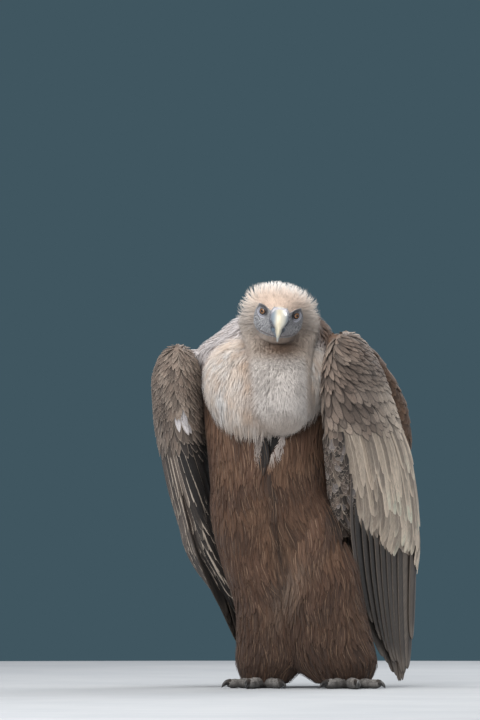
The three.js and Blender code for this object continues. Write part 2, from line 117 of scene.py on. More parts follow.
LEFT_FOLD_END = (302, 206)  # heights where the coverts stop, at the wing's front and rear edges
RIGHT_FOLD_END = (158, 136)

# The head's own frame starts at the middle of the bill's base: forward, up, half across, half high.
HEAD_AT, HEAD_PITCH, HEAD_ROLL = (-12.8, -212, 700), 18.0, 8.0
HEAD = [
    (-112, -4, 0, 0), (-104, -4, 30, 25), (-86, -5, 48, 40), (-66, -6, 56, 44), (-48, -7, 53, 44.5),
    (-34, -7, 46, 44.5), (-22, -8, 38.5, 42), (-10, -7, 30, 35), (4, -4, 21, 25),
]
UPPER_BILL = [
    (-8, 2, 16, 20), (6, 3, 16.8, 20), (20, 3, 16.8, 19), (34, 0, 14.6, 18), (46, -6, 11, 15),
    (54, -13, 7.2, 11), (59, -20, 4, 7.5), (61, -28, 0, 0),
]
CERE = [(-16, -2, 19, 21), (-4, 0.5, 20, 21.4), (8, 2, 19.2, 21), (14, 2.8, 17.6, 20.2)]
LOWER_BILL = [(-8, -18, 15, 9), (10, -20, 14, 8), (28, -21, 12, 7), (42, -20, 9, 5.5), (51, -19, 0, 0)]
EYE_AT, EYE_RADIUS = (-24, 28.5, 4.6), 9.5  # forward, across, up
PUPIL_EDGE, IRIS_RIM, IRIS_EDGE = (2.3, 2.7), (4.6, 5.3), (5.3, 5.8)  # how far each is from the gaze's line
GAZE = (0.83, 0.55, 0.02)

LEFT_FOOT, LEFT_FOOT_TURN = (122, -24), 6
RIGHT_FOOT, RIGHT_FOOT_TURN = (-46, 16), -14
TOES = [  # degrees out from the way the foot points, length, radius, claw length
    ("inner", -42, 68, 10.5, 27), ("middle", 0, 98, 11, 25), ("outer", 38, 70, 9.5, 22),
    ("hind", 178, 42, 10.5, 28),
]

# How far under the coat's surface the skin lies, in millimetres.
COAT_DEPTH = {"trunk": 17, "ruff": 20, "neck": 13, "head": 8, "thigh": 17, "wing": 10, "scapulars": 12}

low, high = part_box("foot_left")
STANCE = np.array([(low.x + high.x) / 2 - LEFT_FOOT[0] * MM, (low.y + high.y) / 2 - LEFT_FOOT[1] * MM, 0.0])


# ---- shapes ----

def unit(v):
    return v / np.maximum(np.linalg.norm(v, axis=-1, keepdims=True), 1e-9)


def smooth(x, start, end):
    t = np.clip((x - start) / (end - start), 0, 1)
    return t * t * (3 - 2 * t)


def along(stations, share):
    """The stations as one smooth run, at shares of it from 0 to 1."""
    table = np.asarray(stations, float)
    last = len(table) - 1
    at = np.clip(np.asarray(share, float), 0, 1) * last
    i = np.minimum(at.astype(int), last - 1)
    t = (at - i)[..., None]
    p, q, r, s = (table[np.clip(i + k, 0, last)] for k in (-1, 0, 1, 2))
    return 0.5 * (2 * q + (r - p) * t + (2 * p - 5 * q + 4 * r - s) * t**2 + (3 * q - p - 3 * r + s) * t**3)


class Mass:
    """A soft mass of rings. u goes round it in radians and v runs from its first ring, 0, to its last, 1."""

    def __init__(self, rings, side, back, tilt=None, square=1.0):
        self.rings, self.side, self.back = np.asarray(rings, float), np.asarray(side), np.asarray(back)
        self.tilt, self.square, self.sign = tilt, square, 1.0
        u, v = np.array([0.3]), np.array([0.5])
        outward = self.point(u, v) - along(self.rings, v)[:, :3]
        self.sign = np.sign((self.frame(u, v)[3] * outward).sum())

    def point(self, u, v, lift=0.0):
        v = np.asarray(v, float)
        inside = np.clip(v, 0, 1)
        ring = along(self.rings, inside)
        c, s = np.cos(u), np.sin(u)
        if self.square != 1:
            c, s = (np.sign(x) * np.abs(x) ** (1 / self.square) for x in (c, s))
        a, b = np.maximum(ring[..., 3] + lift, 0) * c, np.maximum(ring[..., 4] + lift, 0) * s
        p = ring[..., :3] + a[..., None] * self.side + b[..., None] * self.back
        if self.tilt:
            p[..., 2] -= self.tilt(ring[..., 2]) * b
        over = v - inside
        if np.any(over > 0):
            slope = (self.point(u, np.ones_like(v), lift) - self.point(u, np.full_like(v, 0.97), lift)) / 0.03
            p = p + over[..., None] * slope
        return p

    def net(self, us, vs, lift=0.0):
        """The points at every u and v, a row for each v."""
        return self.point(us[None].repeat(len(vs), 0), np.asarray(vs)[:, None].repeat(len(us), 1), lift)

    def frame(self, u, v):
        """The point, its ways round and along, and the outward normal."""
        e = 2e-3  # how far to either side the slopes are taken
        round_way = (self.point(u + e, v) - self.point(u - e, v)) / (2 * e)
        v_low = np.maximum(v - e, 0)
        long_way = (self.point(u, v + e) - self.point(u, v_low)) / (v + e - v_low)[..., None]
        normal = unit(np.cross(round_way, long_way)) * self.sign
        return self.point(u, v), round_way, long_way, normal

    def away(self, p):
        """How far outside the mass each point lies, about; less than 0 inside."""
        fine = along(self.rings, np.linspace(0, 1, 300))
        axis = np.cross(self.side, self.back)
        reach, depth = fine[:, :3] @ axis, p @ axis
        order = np.argsort(reach)
        ring = np.stack([np.interp(depth, reach[order], fine[order, k]) for k in range(5)], axis=-1)
        off = p - ring[..., :3]
        a, b = np.maximum(ring[..., 3], 1e-4), np.maximum(ring[..., 4], 1e-4)
        x, y = off @ self.side, off @ self.back
        level = np.hypot(x, y) * (1 - 1 / np.maximum(np.hypot(x / a, y / b), 1e-3))
        beyond = np.maximum(np.maximum(reach.min() - depth, depth - reach.max()), 0)
        inside = np.minimum(depth - reach.min(), reach.max() - depth)
        level = np.where(level < 0, np.maximum(level, -np.maximum(inside, 0)), level)
        return np.where(beyond > 0, np.hypot(np.maximum(level, 0), beyond), level)

    def holds(self, p, margin):
        """Which points lie inside the mass by more than the margin."""
        return self.away(p) < -margin


def from_stance(p):
    """A point's x, y and z from the middle of the stance, in metres."""
    return (p[..., k] - STANCE[k] for k in range(3))


MOST_SWELL = 0.035  # in metres


def swell(p, masses, reach):
    """How far a surface rises where it meets the others, so that they run into each other softly."""
    total = sum(np.exp(-np.clip(m.away(p), -0.05, 1) / reach) for m in masses)
    return np.clip(reach * np.log1p(total), 0, MOST_SWELL)


def neck_reach(p):
    """How widely the neck's coat runs into its neighbours: hardly at the throat, broadly at the nape."""
    return 0.004 + 0.020 * smooth(p[..., 1] - STANCE[1], -0.13, -0.085)


def trunk_reach(p):
    """The same for the trunk: hardly under the ruff, broadly at the back and the thighs."""
    return 0.022 - 0.019 * smooth(STANCE[1] - p[..., 1], 0, 0.05) * smooth(p[..., 2], 0.42, 0.5)


def head_reach(p):
    return 0.001 + 0.023 * smooth(-from_head(p)[0], 35, 80)


def ways(turn):
    """The ways across and back of something turned by some degrees about the upright."""
    c, s = math.cos(math.radians(turn)), math.sin(math.radians(turn))
    return np.array([c, -s, 0]), np.array([s, c, 0])


def hanging(stations, turn, tilt=None):
    rings = [(x * MM + STANCE[0], y * MM + STANCE[1], z * MM, a * MM, b * MM) for z, x, y, a, b in stations]
    return Mass(rings, *ways(turn), tilt)


pitch, roll = math.radians(HEAD_PITCH), math.radians(HEAD_ROLL)
HEAD_LEFT = np.array([math.cos(roll), math.sin(pitch) * math.sin(roll), -math.cos(pitch) * math.sin(roll)])
HEAD_FORWARD = -np.array([0, math.cos(pitch), math.sin(pitch)])
HEAD_UP = np.cross(HEAD_LEFT, -HEAD_FORWARD)
HEAD_ORIGIN = np.array(HEAD_AT) * MM + STANCE


def in_head(forward, across, up):
    """A place in the head's frame, in millimetres, as a point."""
    f, c, h = (np.asarray(k, float)[..., None] for k in (forward, across, up))
    return HEAD_ORIGIN + MM * (f * HEAD_FORWARD + c * HEAD_LEFT + h * HEAD_UP)


def from_head(p):
    """A point's forward, across and up in the head's frame, in millimetres."""
    off = (p - HEAD_ORIGIN) / MM
    return off @ HEAD_FORWARD, off @ HEAD_LEFT, off @ HEAD_UP


def facing(stations, square=1.0):
    rings = [(*in_head(f, 0, h), a * MM, b * MM) for f, h, a, b in stations]
    return Mass(rings, HEAD_LEFT, HEAD_UP, square=square)


def folded(stations, turn, ends):
    middle = sum(ends) / 2
    upper = [s for s in stations if s[0] > middle + 30]
    below = next(i for i, s in enumerate(stations) if s[0] < middle)
    end = along(stations, (below - 0.3) / (len(stations) - 1))
    slope = (ends[0] - ends[1]) / (2 * end[4])
    top = stations[0][0] * MM
    return hanging(
        [*upper, (middle, end[1], end[2], 9, end[4] * 0.96)], turn,
        lambda z: slope * smooth(top - z, 0.12, top - middle * MM),
    )


trunk, ruff, neck = hanging(TRUNK, BODY_TURN), hanging(RUFF, BODY_TURN), hanging(NECK, 0)
left_thigh, right_thigh = hanging(LEFT_THIGH, BODY_TURN), hanging(RIGHT_THIGH, BODY_TURN)
left_fold = folded(LEFT_WING, LEFT_WING_TURN, LEFT_FOLD_END)
right_fold = folded(RIGHT_WING, RIGHT_WING_TURN, RIGHT_FOLD_END)
left_scapulars, right_scapulars = hanging(LEFT_SCAPULARS, BODY_TURN), hanging(RIGHT_SCAPULARS, BODY_TURN)
head = facing(HEAD, 1.16)


# ---- meshes ----

TAU = 2 * math.pi


def stand(name, data):
    """An object of that data in the scene."""
    made = bpy.data.objects.new(name, data)
    bpy.context.scene.collection.objects.link(made)
    return made


def mesh_object(name, points, loops, sizes, material):
    """An object with its mesh placed as it stands: points, face corners and the corners in each face."""
    mesh = bpy.data.meshes.new(name)
    mesh.vertices.add(len(points))
    mesh.vertices.foreach_set("co", np.ascontiguousarray(points, np.float32).ravel())
    mesh.loops.add(len(loops))
    mesh.loops.foreach_set("vertex_index", np.ascontiguousarray(loops, np.int32))
    mesh.polygons.add(len(sizes))
    sizes = np.asarray(sizes, np.int32)
    mesh.polygons.foreach_set("loop_start", np.concatenate([[0], np.cumsum(sizes)[:-1]]).astype(np.int32))
    mesh.polygons.foreach_set("loop_total", sizes)
    mesh.update(calc_edges=True)
    mesh.validate()
    mesh.shade_smooth()
    if material:
        mesh.materials.append(material)
    return stand(name, mesh)


def held(items, field, size, kind=np.float32):
    """What a mesh holds for each of its items."""
    values = np.zeros(len(items) * size, kind)
    items.foreach_get(field, values)
    return values.reshape(-1, size)


def opaque(colours):
    return np.concatenate([colours, np.ones((len(colours), 1))], axis=1)


def give(mesh, name, values):
    """A value for each point, kept in the mesh for its material: three numbers, or four for a colour."""
    values = np.asarray(values, np.float32)
    kind = {3: "FLOAT_VECTOR", 4: "FLOAT_COLOR"}[values.shape[-1]]
    field = "vector" if kind == "FLOAT_VECTOR" else "color"
    mesh.attributes.new(name, kind, "POINT").data.foreach_set(field, values.ravel())


PATCH = 0.003  # a feather's size on the unwrap


def strips(name, chunks, material, softness=0.5):
    """One mesh of many closed strips. A chunk has points (n, rings, section, 3), where on the feather each
    one is (along, across, chance), its colour, the root's place on the skin's unwrap, and the way that the
    coat faces there, which softens its shading."""
    points, loops, sizes, places, tints, bake, facing_ways = [], [], [], [], [], [], []
    start = 0
    for at, place, tint, root, faces_way in chunks:
        n, rings, section = at.shape[:3]
        grid = start + np.arange(n * rings * section).reshape(n, rings, section)
        turned = np.roll(grid, -1, axis=2)
        quads = np.stack([grid[:, :-1], turned[:, :-1], turned[:, 1:], grid[:, 1:]], axis=-1).reshape(-1)
        ends = np.concatenate([grid[:, 0, ::-1], grid[:, -1]]).reshape(-1)
        loops += [quads, ends]
        sizes += [np.full(len(quads) // 4, 4), np.full(2 * n, section)]
        points.append(at.reshape(-1, 3))
        places.append(place.reshape(-1, 3))
        tints.append(tint.reshape(-1, 4))
        patch = np.stack([place[..., 1] / 2, place[..., 0]], axis=-1) * PATCH
        bake.append((root[:, None, None, :] + patch).reshape(-1, 2))
        facing_ways.append(np.broadcast_to(faces_way[:, :, None], at.shape).reshape(-1, 3))
        start += n * rings * section
    loops = np.concatenate(loops)
    made = mesh_object(name, np.concatenate(points), loops, np.concatenate(sizes), material)
    give(made.data, "feather", np.concatenate(places))
    give(made.data, "tint", np.concatenate(tints))
    layer = made.data.uv_layers.new(name="OFBake")
    corner = held(made.data.loops, "vertex_index", 1, np.int32)[:, 0]
    layer.data.foreach_set("uv", np.concatenate(bake)[corner].astype(np.float32).ravel())
    own = held(made.data.vertex_normals, "vector", 3)
    give(made.data, "custom_normal", unit(own * (1 - softness) + np.concatenate(facing_ways) * softness))
    return made


JITTER = 0.22  # how far a root strays from its place, in steps
TUFT = ((-1, 0), (0, 1), (1, 0))
VANE = ((-1, 0), (-0.5, 0.75), (0, 1), (0.5, 0.75), (1, 0))


def rows(mass, start, end, step, gap):
    """Roots in staggered rows round a mass, a step apart along it and a gap apart in each row.
    The step and the gap are in millimetres."""
    step, gap = step * MM, gap * MM
    vs, us = np.linspace(start, end, 160), np.linspace(0, TAU, 73)
    grid = mass.net(us, vs)
    run = np.concatenate([[0], np.cumsum(np.linalg.norm(np.diff(grid, axis=0), axis=-1).mean(axis=1))])
    found = []
    for i, at in enumerate(np.arange(0.3 * step, run[-1], step)):
        v = np.interp(at, run, vs)
        ring = mass.point(us, np.full(len(us), v))
        around = np.concatenate([[0], np.cumsum(np.linalg.norm(np.diff(ring, axis=0), axis=-1))])
        count = max(int(around[-1] / gap), 3)
        place = (np.arange(count) + 0.5 * (i % 2) + rng.normal(0, JITTER, count)) / count
        rise = (at + rng.normal(0, JITTER * step, count)).clip(0, run[-1])
        found.append((np.interp(place % 1 * around[-1], around, us), np.interp(rise, run, vs)))
    return np.concatenate([u for u, _ in found]), np.concatenate([v for _, v in found])


LEAST_GIRTH, LEAST_RUN = 0.012, 0.02  # so that paths don't spin where a mass comes to a point


def trail(mass, u, v, flow, length, shares, depth, climb):
    """Paths that start at u, v and run along the mass for a length, from a depth under it to one above.
    flow(u, v) is the angle off the mass's own length, and shares say where the path has its points."""
    points, normals = [], []
    u, v = u.copy(), v.copy()
    steps = np.diff(shares, append=1)
    for share, part in zip(shares, steps):
        p, round_way, long_way, normal = mass.frame(u, v)
        lift = np.asarray(depth[0] + (depth[1] - depth[0]) * share**climb)
        points.append(p + normal * lift[..., None])
        normals.append(normal)
        lean = flow(u, v)
        girth, run = (np.linalg.norm(way, axis=-1) for way in (round_way, long_way))
        u = u + np.sin(lean) * part * length / np.maximum(girth, LEAST_GIRTH)
        v = np.maximum(v + np.cos(lean) * part * length / np.maximum(run, LEAST_RUN), 0)
    return np.stack(points, 1), np.stack(normals, 1)


def strip(path, normal, width, rise, shares, profile, section, cup, twist=None):
    """Closed strips along their paths: half widths by the profile, thickest under the ridge.
    Gives their points and each one's place, as strips() takes them."""
    n, rings = path.shape[:2]
    way = unit(np.gradient(path, axis=1))
    side = unit(np.cross(way, normal))
    up = np.cross(side, way)
    if twist is not None:
        c, s = np.cos(twist)[:, None, None], np.sin(twist)[:, None, None]
        side, up = side * c + up * s, up * c - side * s
    half = np.broadcast_to(width, n)[:, None] * np.asarray(profile)[None]
    thick = np.broadcast_to(rise, n)[:, None] * np.asarray(profile)[None] ** 0.5
    shape = np.asarray(section, float)
    out = path[:, :, None] + side[:, :, None] * (half[..., None] * shape[:, 0])[..., None]
    droop = -cup * np.abs(shape[:, 0]) ** 2 * half[..., None]
    out = out + up[:, :, None] * (thick[..., None] * shape[:, 1] + droop)[..., None]
    place = np.empty((n, rings, len(shape), 3))
    place[..., 0] = np.asarray(shares)[None, :, None]
    place[..., 1] = shape[:, 0]
    place[..., 2] = rng.random(n)[:, None, None]
    return out, place


def unwrap(u, v):
    return np.stack([(u / TAU) % 1 * 0.99, np.clip(v, 0, 1) * 0.99], axis=-1)


def linear(r, g, b):
    """A colour as the eye names it, 0 to 255, as light."""
    c = np.array([r, g, b]) / 255
    return np.where(c < 0.04045, c / 12.92, ((c + 0.055) / 1.055) ** 2.4)


def paint(colour, place, shade, root, tip):
    """Colours for a chunk: one for each feather, darker or paler by chance, and from root to tip, a darker
    root being painted shade where the coat laps over it.
    """
    chance = 1 + shade * rng.normal(0, 1, (place.shape[0], 1, 1, 1)).clip(-2, 2)
    # root to tip: darker roots are painted shade where the coat laps over them
    fade = root + (tip - root) * place[..., :1]
    out = np.ones((*place.shape[:3], 4))
    out[..., :3] = (np.asarray(colour)[:, None, None, :] * chance * fade).clip(0.004, 0.95)
    return out


def blotches(p, size, seed):
    """A soft random field between -1 and 1 that changes over the given size."""
    chance = np.random.default_rng(seed)
    total = np.zeros(p.shape[:-1])
    for _ in range(9):
        way = unit(chance.normal(size=3)) * TAU / size * chance.uniform(0.6, 1.5)
        total += np.sin(p @ way + chance.uniform(0, TAU))
    return (total / 3).clip(-1, 1)


# ---- markings, the same for skin and coat ----

CREAM, CROWN, FOREHEAD = linear(232, 217, 203), linear(226, 222, 218), linear(208, 186, 169)
THROAT, NECK_WHITE, NECK_GREY = linear(146, 116, 92), linear(234, 227, 221), linear(164, 155, 148)
NECK_TAN, RUFF_SHADE, CREASE_SHADE = linear(200, 174, 150), linear(216, 190, 168), linear(168, 140, 118)
MANTLE_WHITE = linear(222, 216, 216)
BROWN, BROWN_DEEP, BROWN_PALE = linear(98, 69, 51), linear(58, 40, 30), linear(128, 95, 70)
RUST = linear(110, 83, 64)
COVERT, COVERT_PALE, COVERT_DARK = linear(136, 118, 105), linear(180, 163, 148), linear(74, 62, 54)
GREATER, GREATER_PALE = linear(192, 171, 150), linear(220, 202, 182)
SLATE, SLATE_PALE, QUILL_WARM = linear(34, 30, 30), linear(142, 128, 115), linear(118, 104, 93)
SKIN_BLUE, SKIN_DARK, SKIN_PALE = linear(168, 168, 170), linear(52, 50, 52), linear(230, 230, 232)
FOOT_GREY, FOOT_DARK = linear(138, 134, 130), linear(84, 80, 76)


def mix(a, b, share):
    return a + (b - a) * np.clip(np.asarray(share, float), 0, 1)[..., None]


def dome(x, width):
    return np.exp(-((x / width) ** 2))


def bareness(p):
    """1 on the bare face, 0 in the down, softly between."""
    f, c, h = from_head(p)
    a = np.abs(c)
    edge = -37 + 5 * smooth(h, -5, 20) - 3 * smooth(-h, 8, 30)
    brow = 14.5 + 4 * dome(a - 32, 8) + 8 * (1 - smooth(a, 12, 18))
    return smooth(f, edge - 2, edge + 3) * (1 - smooth(-h, 40, 45)) * (1 - smooth(h, brow - 1, brow + 1.5))


def down_colour(p):
    f, _, h = from_head(p)
    front = smooth(f, -86, -40)
    colour = mix(CREAM, CROWN, smooth(h, 18, 44) * (1 - 0.6 * front))
    colour = mix(colour, FOREHEAD, front * smooth(h, 6, 20) * (1 - 0.5 * smooth(h, 36, 50)))
    rim = dome(f + 40, 13) * smooth(-h, -20, 0) * (1 - smooth(-h, 40, 60))
    colour = mix(colour, linear(176, 156, 140), 0.55 * rim)
    x, y, z = from_stance(p)
    # the brown under the bill: the throat's own colour, with painted shade in the recess under the chin
    throat = dome(x + 0.009, 0.042) * dome(z - 0.645, 0.026) * smooth(-y, 0.12, 0.16)
    colour = mix(colour, THROAT, 0.92 * throat)
    column = smooth(0.640 - z, 0, 0.03) * smooth(-y, 0.13, 0.17) * (1 - smooth(x, 0.036, 0.043))
    colour = mix(colour, NECK_WHITE, 0.85 * column)
    grey = smooth(blotches(p, 0.014, 3) + 0.7 * blotches(p, 0.05, 4), 0.0, 1.0)
    colour = mix(colour, NECK_GREY, 0.38 * column * grey * smooth(0.628 - z, 0, 0.03))
    colour = mix(colour, NECK_TAN, 0.5 * column * smooth(0.535 - z, 0, 0.05))
    # painted shade in the crease where the neck's down meets the ruff
    crease_shade = dome(ruff.away(p), 0.009) * smooth(0.68 - z, 0, 0.03) * smooth(-x, -0.03, 0)
    return mix(colour, CREASE_SHADE, 0.5 * crease_shade)


def ruff_colour(p):
    x, _, z = from_stance(p)
    colour = mix(CREAM, CROWN, 0.5 + 0.5 * blotches(p, 0.05, 5))
    colour = mix(colour, RUFF_SHADE, 0.6 * smooth(blotches(p, 0.03, 6), -0.2, 1))
    # painted shade in the crease where the ruff meets the neck
    crease_shade = dome(np.maximum(neck.away(p) - 0.002, 0), 0.012) * smooth(-x, -0.03, 0)
    colour = mix(colour, CREASE_SHADE, 0.5 * crease_shade)
    return mix(colour, NECK_TAN, 0.4 * smooth(0.52 - z, 0, 0.04))


def parting(p):
    """How near a point is to the line where the breast feathers part, 1 on it."""
    x, y, z = from_stance(p)
    heights = [0.167, 0.219, 0.238, 0.29, 0.37, 0.422]
    across = [-0.018, 0.001, -0.010, -0.018, -0.024, -0.043]
    ends = smooth(z, 0.15, 0.2), 1 - smooth(z, 0.41, 0.45)
    return dome(x - np.interp(z, heights, across), 0.009) * smooth(-y, -0.05, 0.05) * ends[0] * ends[1]


def body_colour(p):
    x, y, z = from_stance(p)
    colour = mix(BROWN, BROWN_PALE, 0.5 * smooth(blotches(p, 0.11, 7), -0.3, 1))
    colour = mix(colour, BROWN_DEEP, 0.5 * smooth(blotches(p, 0.07, 8), 0.0, 1))
    # painted shade: darker towards the bottom, away from the light from above
    colour = mix(colour, BROWN_DEEP, 0.7 * smooth(0.30 - z, 0, 0.26))
    tuft = dome(x - 0.004 - 0.3 * (z - 0.185), 0.024) * dome(z - 0.185, 0.055) * smooth(-y, 0, 0.05)
    colour = mix(colour, linear(142, 124, 110), 0.5 * tuft)
    # painted shade along the parting of the breast feathers
    colour = mix(colour, BROWN_DEEP * 0.4, 0.75 * parting(p))
    # painted shade: near black in the hollow over the crop, under the neck's down
    colour = mix(colour, linear(20, 16, 14), notch(p))
    # painted shade in the gap where the body meets the wings
    near_wing = np.minimum(left_fold.away(p), right_fold.away(p))
    colour = mix(colour, BROWN_DEEP * 0.35, 0.8 * dome(np.maximum(near_wing, 0), 0.009))
    return colour + (mantle_colour(p) - colour) * smooth(z, 0.56, 0.62)[..., None]


def notch(p):
    """1 in the dark hollow over the crop, just under the neck's down."""
    x, y, z = from_stance(p)
    middle = np.interp(z, [0.424, 0.436, 0.474], [-0.043, -0.042, -0.0245])
    wide = np.interp(z, [0.424, 0.436, 0.474], [0.003, 0.009, 0.0155])
    inside = 1 - smooth(np.abs(x - middle) / wide, 0.8, 1.25)
    return inside * smooth(z, 0.420, 0.428) * (1 - smooth(z, 0.55, 0.56)) * smooth(-y, 0.05, 0.1)


def wing_colour(p, left):
    x, y, z = from_stance(p)
    colour = mix(COVERT, COVERT_PALE, 0.55 * smooth(blotches(p, 0.05, 9), -0.4, 1))
    colour = mix(colour, COVERT_DARK, 0.6 * smooth(blotches(p, 0.03, 10), 0, 1))
    if left:
        colour = mix(colour, GREATER, 0.8 * smooth(0.53 - z, 0, 0.12))
        # paler towards the outer edge: the feathers' own pale edge, made brighter still as painted light
        return mix(colour, GREATER_PALE * 1.15, 0.8 * smooth(x, 0.155, 0.21) * smooth(0.61 - z, 0, 0.05))
    colour = mix(colour, SLATE * 0.8, 0.93 * inner_shade(p))
    colour = mix(colour, COVERT_DARK, 0.6 * smooth(0.34 - z, 0, 0.16))
    white = dome(np.hypot(x + 0.193, (z - 0.500) * 0.6), 0.012) * smooth(-y, 0, 0.03)
    return mix(colour, MANTLE_WHITE, white > 0.4)


def inner_shade(p):
    """1 on the right wing's dark inner half, low down towards the body."""
    x, _, z = from_stance(p)
    edge = np.interp(z, [0.03, 0.17, 0.25, 0.40, 0.48], [-0.120, -0.158, -0.170, -0.190, -0.204])
    return smooth(x - edge, -0.004, 0.012) * smooth(0.495 - z, 0, 0.04)


def greater_colour(p, left):
    if not left:
        return mix(wing_colour(p, False), SLATE, 0.35)
    x, _, _ = from_stance(p)
    # the outer edge: the feathers' own paler colour, brightened further as painted light
    outer = smooth(x, 0.16, 0.21)
    pale = np.maximum(0.5 + 0.5 * blotches(p, 0.06, 12), outer)
    colour = mix(GREATER, GREATER_PALE, pale) * (1 + outer[..., None] * (0.3, 0.28, 0.25))
    # painted shade: darker towards the body and on the fold's inner face
    colour = mix(colour, COVERT_DARK, 0.5 * smooth(0.135 - x, 0, 0.03))
    rings = left_fold.rings[::-1]
    middle = along(rings, np.interp(p[..., 2], rings[:, 2], np.linspace(0, 1, len(rings))))
    inner = smooth(-((p - middle[..., :3]) @ left_fold.side), 0.004, 0.014)
    return mix(colour, COVERT * 0.8, 0.85 * inner)


def mantle_colour(p):
    """The shoulders: brown, with white down on the right one's front slope and round the neck."""
    x, y, z = from_stance(p)
    slope = smooth(z, 0.585, 0.63) * (1 - smooth(x, -0.02, 0.02)) * (1 - smooth(y, -0.015, 0.02))
    collar = dome(np.maximum(np.minimum(neck.away(p), ruff.away(p)), 0), 0.024)
    collar = collar * (1 - 0.9 * smooth(x, 0.055, 0.085))
    brown = mix(RUST * 0.75, RUST * 1.1, 0.5 + 0.5 * blotches(p, 0.04, 13))
    return mix(brown, MANTLE_WHITE, np.maximum(0.9 * slope, 0.85 * collar))


def face_form(p):
    """The bare face: how far its lids, brow and folds move each point of a plain head, and its colour."""
    f, c, h = from_head(p)
    a, side = np.abs(c), np.sign(c)
    gaze = unit(np.array(GAZE))
    off = np.stack([f - EYE_AT[0], a - EYE_AT[1], h - EYE_AT[2]], axis=-1)
    rise = off @ gaze
    off = off - rise[..., None] * gaze
    d = np.linalg.norm(off, axis=-1)
    lid = d * (1 + 0.16 * smooth(off[..., 2], 0, 5) - 0.10 * smooth(-off[..., 2], 0, 6))
    form = np.interp(lid, [0, 5.2, 5.9, 6.5, 7.3, 8.4, 9.3, 10.3, 11.2, 12.2, 13.2, 15],
                     [2, 3, 7.6, 8.3, 8.2, 7.4, 7.0, 7.8, 7.6, 7.1, 7.5, 8])
    near = (1 - smooth(d, 11, 16)) * (rise > -2)
    move = near * (form - rise)
    shift = move[..., None] * gaze

    face = bareness(p)
    brow = dome(h - (EYE_AT[2] + 15 - 0.05 * (f + 25)), 5) * smooth(a, 12, 24) * smooth(f, -52, -38) * 4.0
    hollow = dome(f + 9, 8) * dome(h - 5, 9) * smooth(a, 12, 18) * -1.5
    cheek = np.hypot(f + 24, (h + 20) * 1.1) + 2.0 * blotches(p, 0.010, 21)
    fold = np.sin(cheek * TAU / 4.4) * dome(cheek - 8, 10) * (1 - near) * face
    pits = blotches(p, 0.0032, 22) * face * (1 - near)
    mouth = dome(h + 36 + 0.15 * (f + 10), 1.3) * smooth(f, -34, -24) * face
    puff = brow + hollow + 0.7 * fold + 0.35 * pits - 1.2 * mouth
    outward = unit(np.stack([0.25 + 0 * a, a / 40, h / 50], axis=-1))
    shift = shift + puff[..., None] * outward * smooth(a, 0, 4)[..., None]
    shift[..., 1] *= np.where(side == 0, 1, side)

    colour = mix(SKIN_BLUE, SKIN_PALE, 0.55 * smooth(fold + 0.7 * pits, 0.1, 1.2))
    colour = mix(colour, SKIN_DARK, 0.8 * smooth(-fold - 0.6 * pits, 0.2, 1.1))
    lores = dome(f + 11, 12) * dome(h - 5, 10) * smooth(a, 8, 15)
    socket = (1 - smooth(d, 10, 19)) * (0.6 + 0.4 * smooth(off[..., 2], -4, 6))
    # The lores are dark skin; the socket's darkening round the eye, strongest above it, is painted shade
    # under the brow.
    colour = mix(colour, SKIN_DARK, np.maximum(0.95 * lores, 0.7 * socket))
    outer = smooth(off @ np.array([-0.8, 0.3, -0.5]), -3, 5)
    ring = dome(lid - 7.4, 0.8) * 0.95 + dome(lid - 10.4, 0.9) * 0.8
    colour = mix(colour, SKIN_PALE * (0.95, 0.95, 1.05), ring * outer)
    colour = mix(colour, linear(22, 20, 20), 1 - smooth(lid, 6.2, 6.9))
    colour = mix(colour, linear(92, 62, 56), 0.8 * mouth)
    return shift, colour, face


# ---- materials ----

class Maths:
    """Writes small sums as nodes in one tree."""

    def __init__(self, tree):
        self.tree = tree

    def node(self, kind, *inputs, **settings):
        made = self.tree.nodes.new(kind)
        for key, value in settings.items():
            setattr(made, key, value)
        for socket, value in zip(made.inputs, inputs):
            self.put(socket, value)
        return made

    def put(self, socket, value):
        if isinstance(value, bpy.types.NodeSocket):
            self.tree.links.new(value, socket)
        elif value is not None:
            socket.default_value = value

    def named(self, kind, inputs, **settings):
        """A node whose inputs are given by name."""
        made = self.node(kind, **settings)
        for key, value in inputs.items():
            self.put(made.inputs[key], value)
        return made

    def __call__(self, operation, *inputs):
        return self.node("ShaderNodeMath", *inputs, operation=operation).outputs[0]

    def range(self, *inputs):
        """A value eased from one range, start to end, into another, low to high or 0 to 1."""
        return self.node("ShaderNodeMapRange", *inputs, interpolation_type="SMOOTHSTEP").outputs[0]

    def noise(self, vector, scale, detail, rough=0.5):
        inputs = {"Vector": vector, "Scale": scale, "Detail": detail, "Roughness": rough}
        return self.named("ShaderNodeTexNoise", inputs).outputs[0]

    def blend(self, share, a, b, kind="MIX"):
        made = self.node("ShaderNodeMix", data_type="RGBA", blend_type=kind)
        for index, value in ((0, share), (6, a), (7, b)):
            self.put(made.inputs[index], (*value, 1) if isinstance(value, (tuple, np.ndarray)) else value)
        return made.outputs[2]


def group(name, inputs, outputs, kind="ShaderNodeTree", gives="NodeSocketFloat"):
    """An empty node group with its named sockets, and the way to fill it."""
    tree = bpy.data.node_groups.new(name, kind)
    for key, (takes, value) in inputs.items():
        socket = tree.interface.new_socket(key, in_out="INPUT", socket_type=takes)
        if value is not None:
            socket.default_value = value
    for key in outputs:
        tree.interface.new_socket(key, in_out="OUTPUT", socket_type=gives)
    given, out = tree.nodes.new("NodeGroupInput").outputs, tree.nodes.new("NodeGroupOutput").inputs
    return tree, Maths(tree), given, out


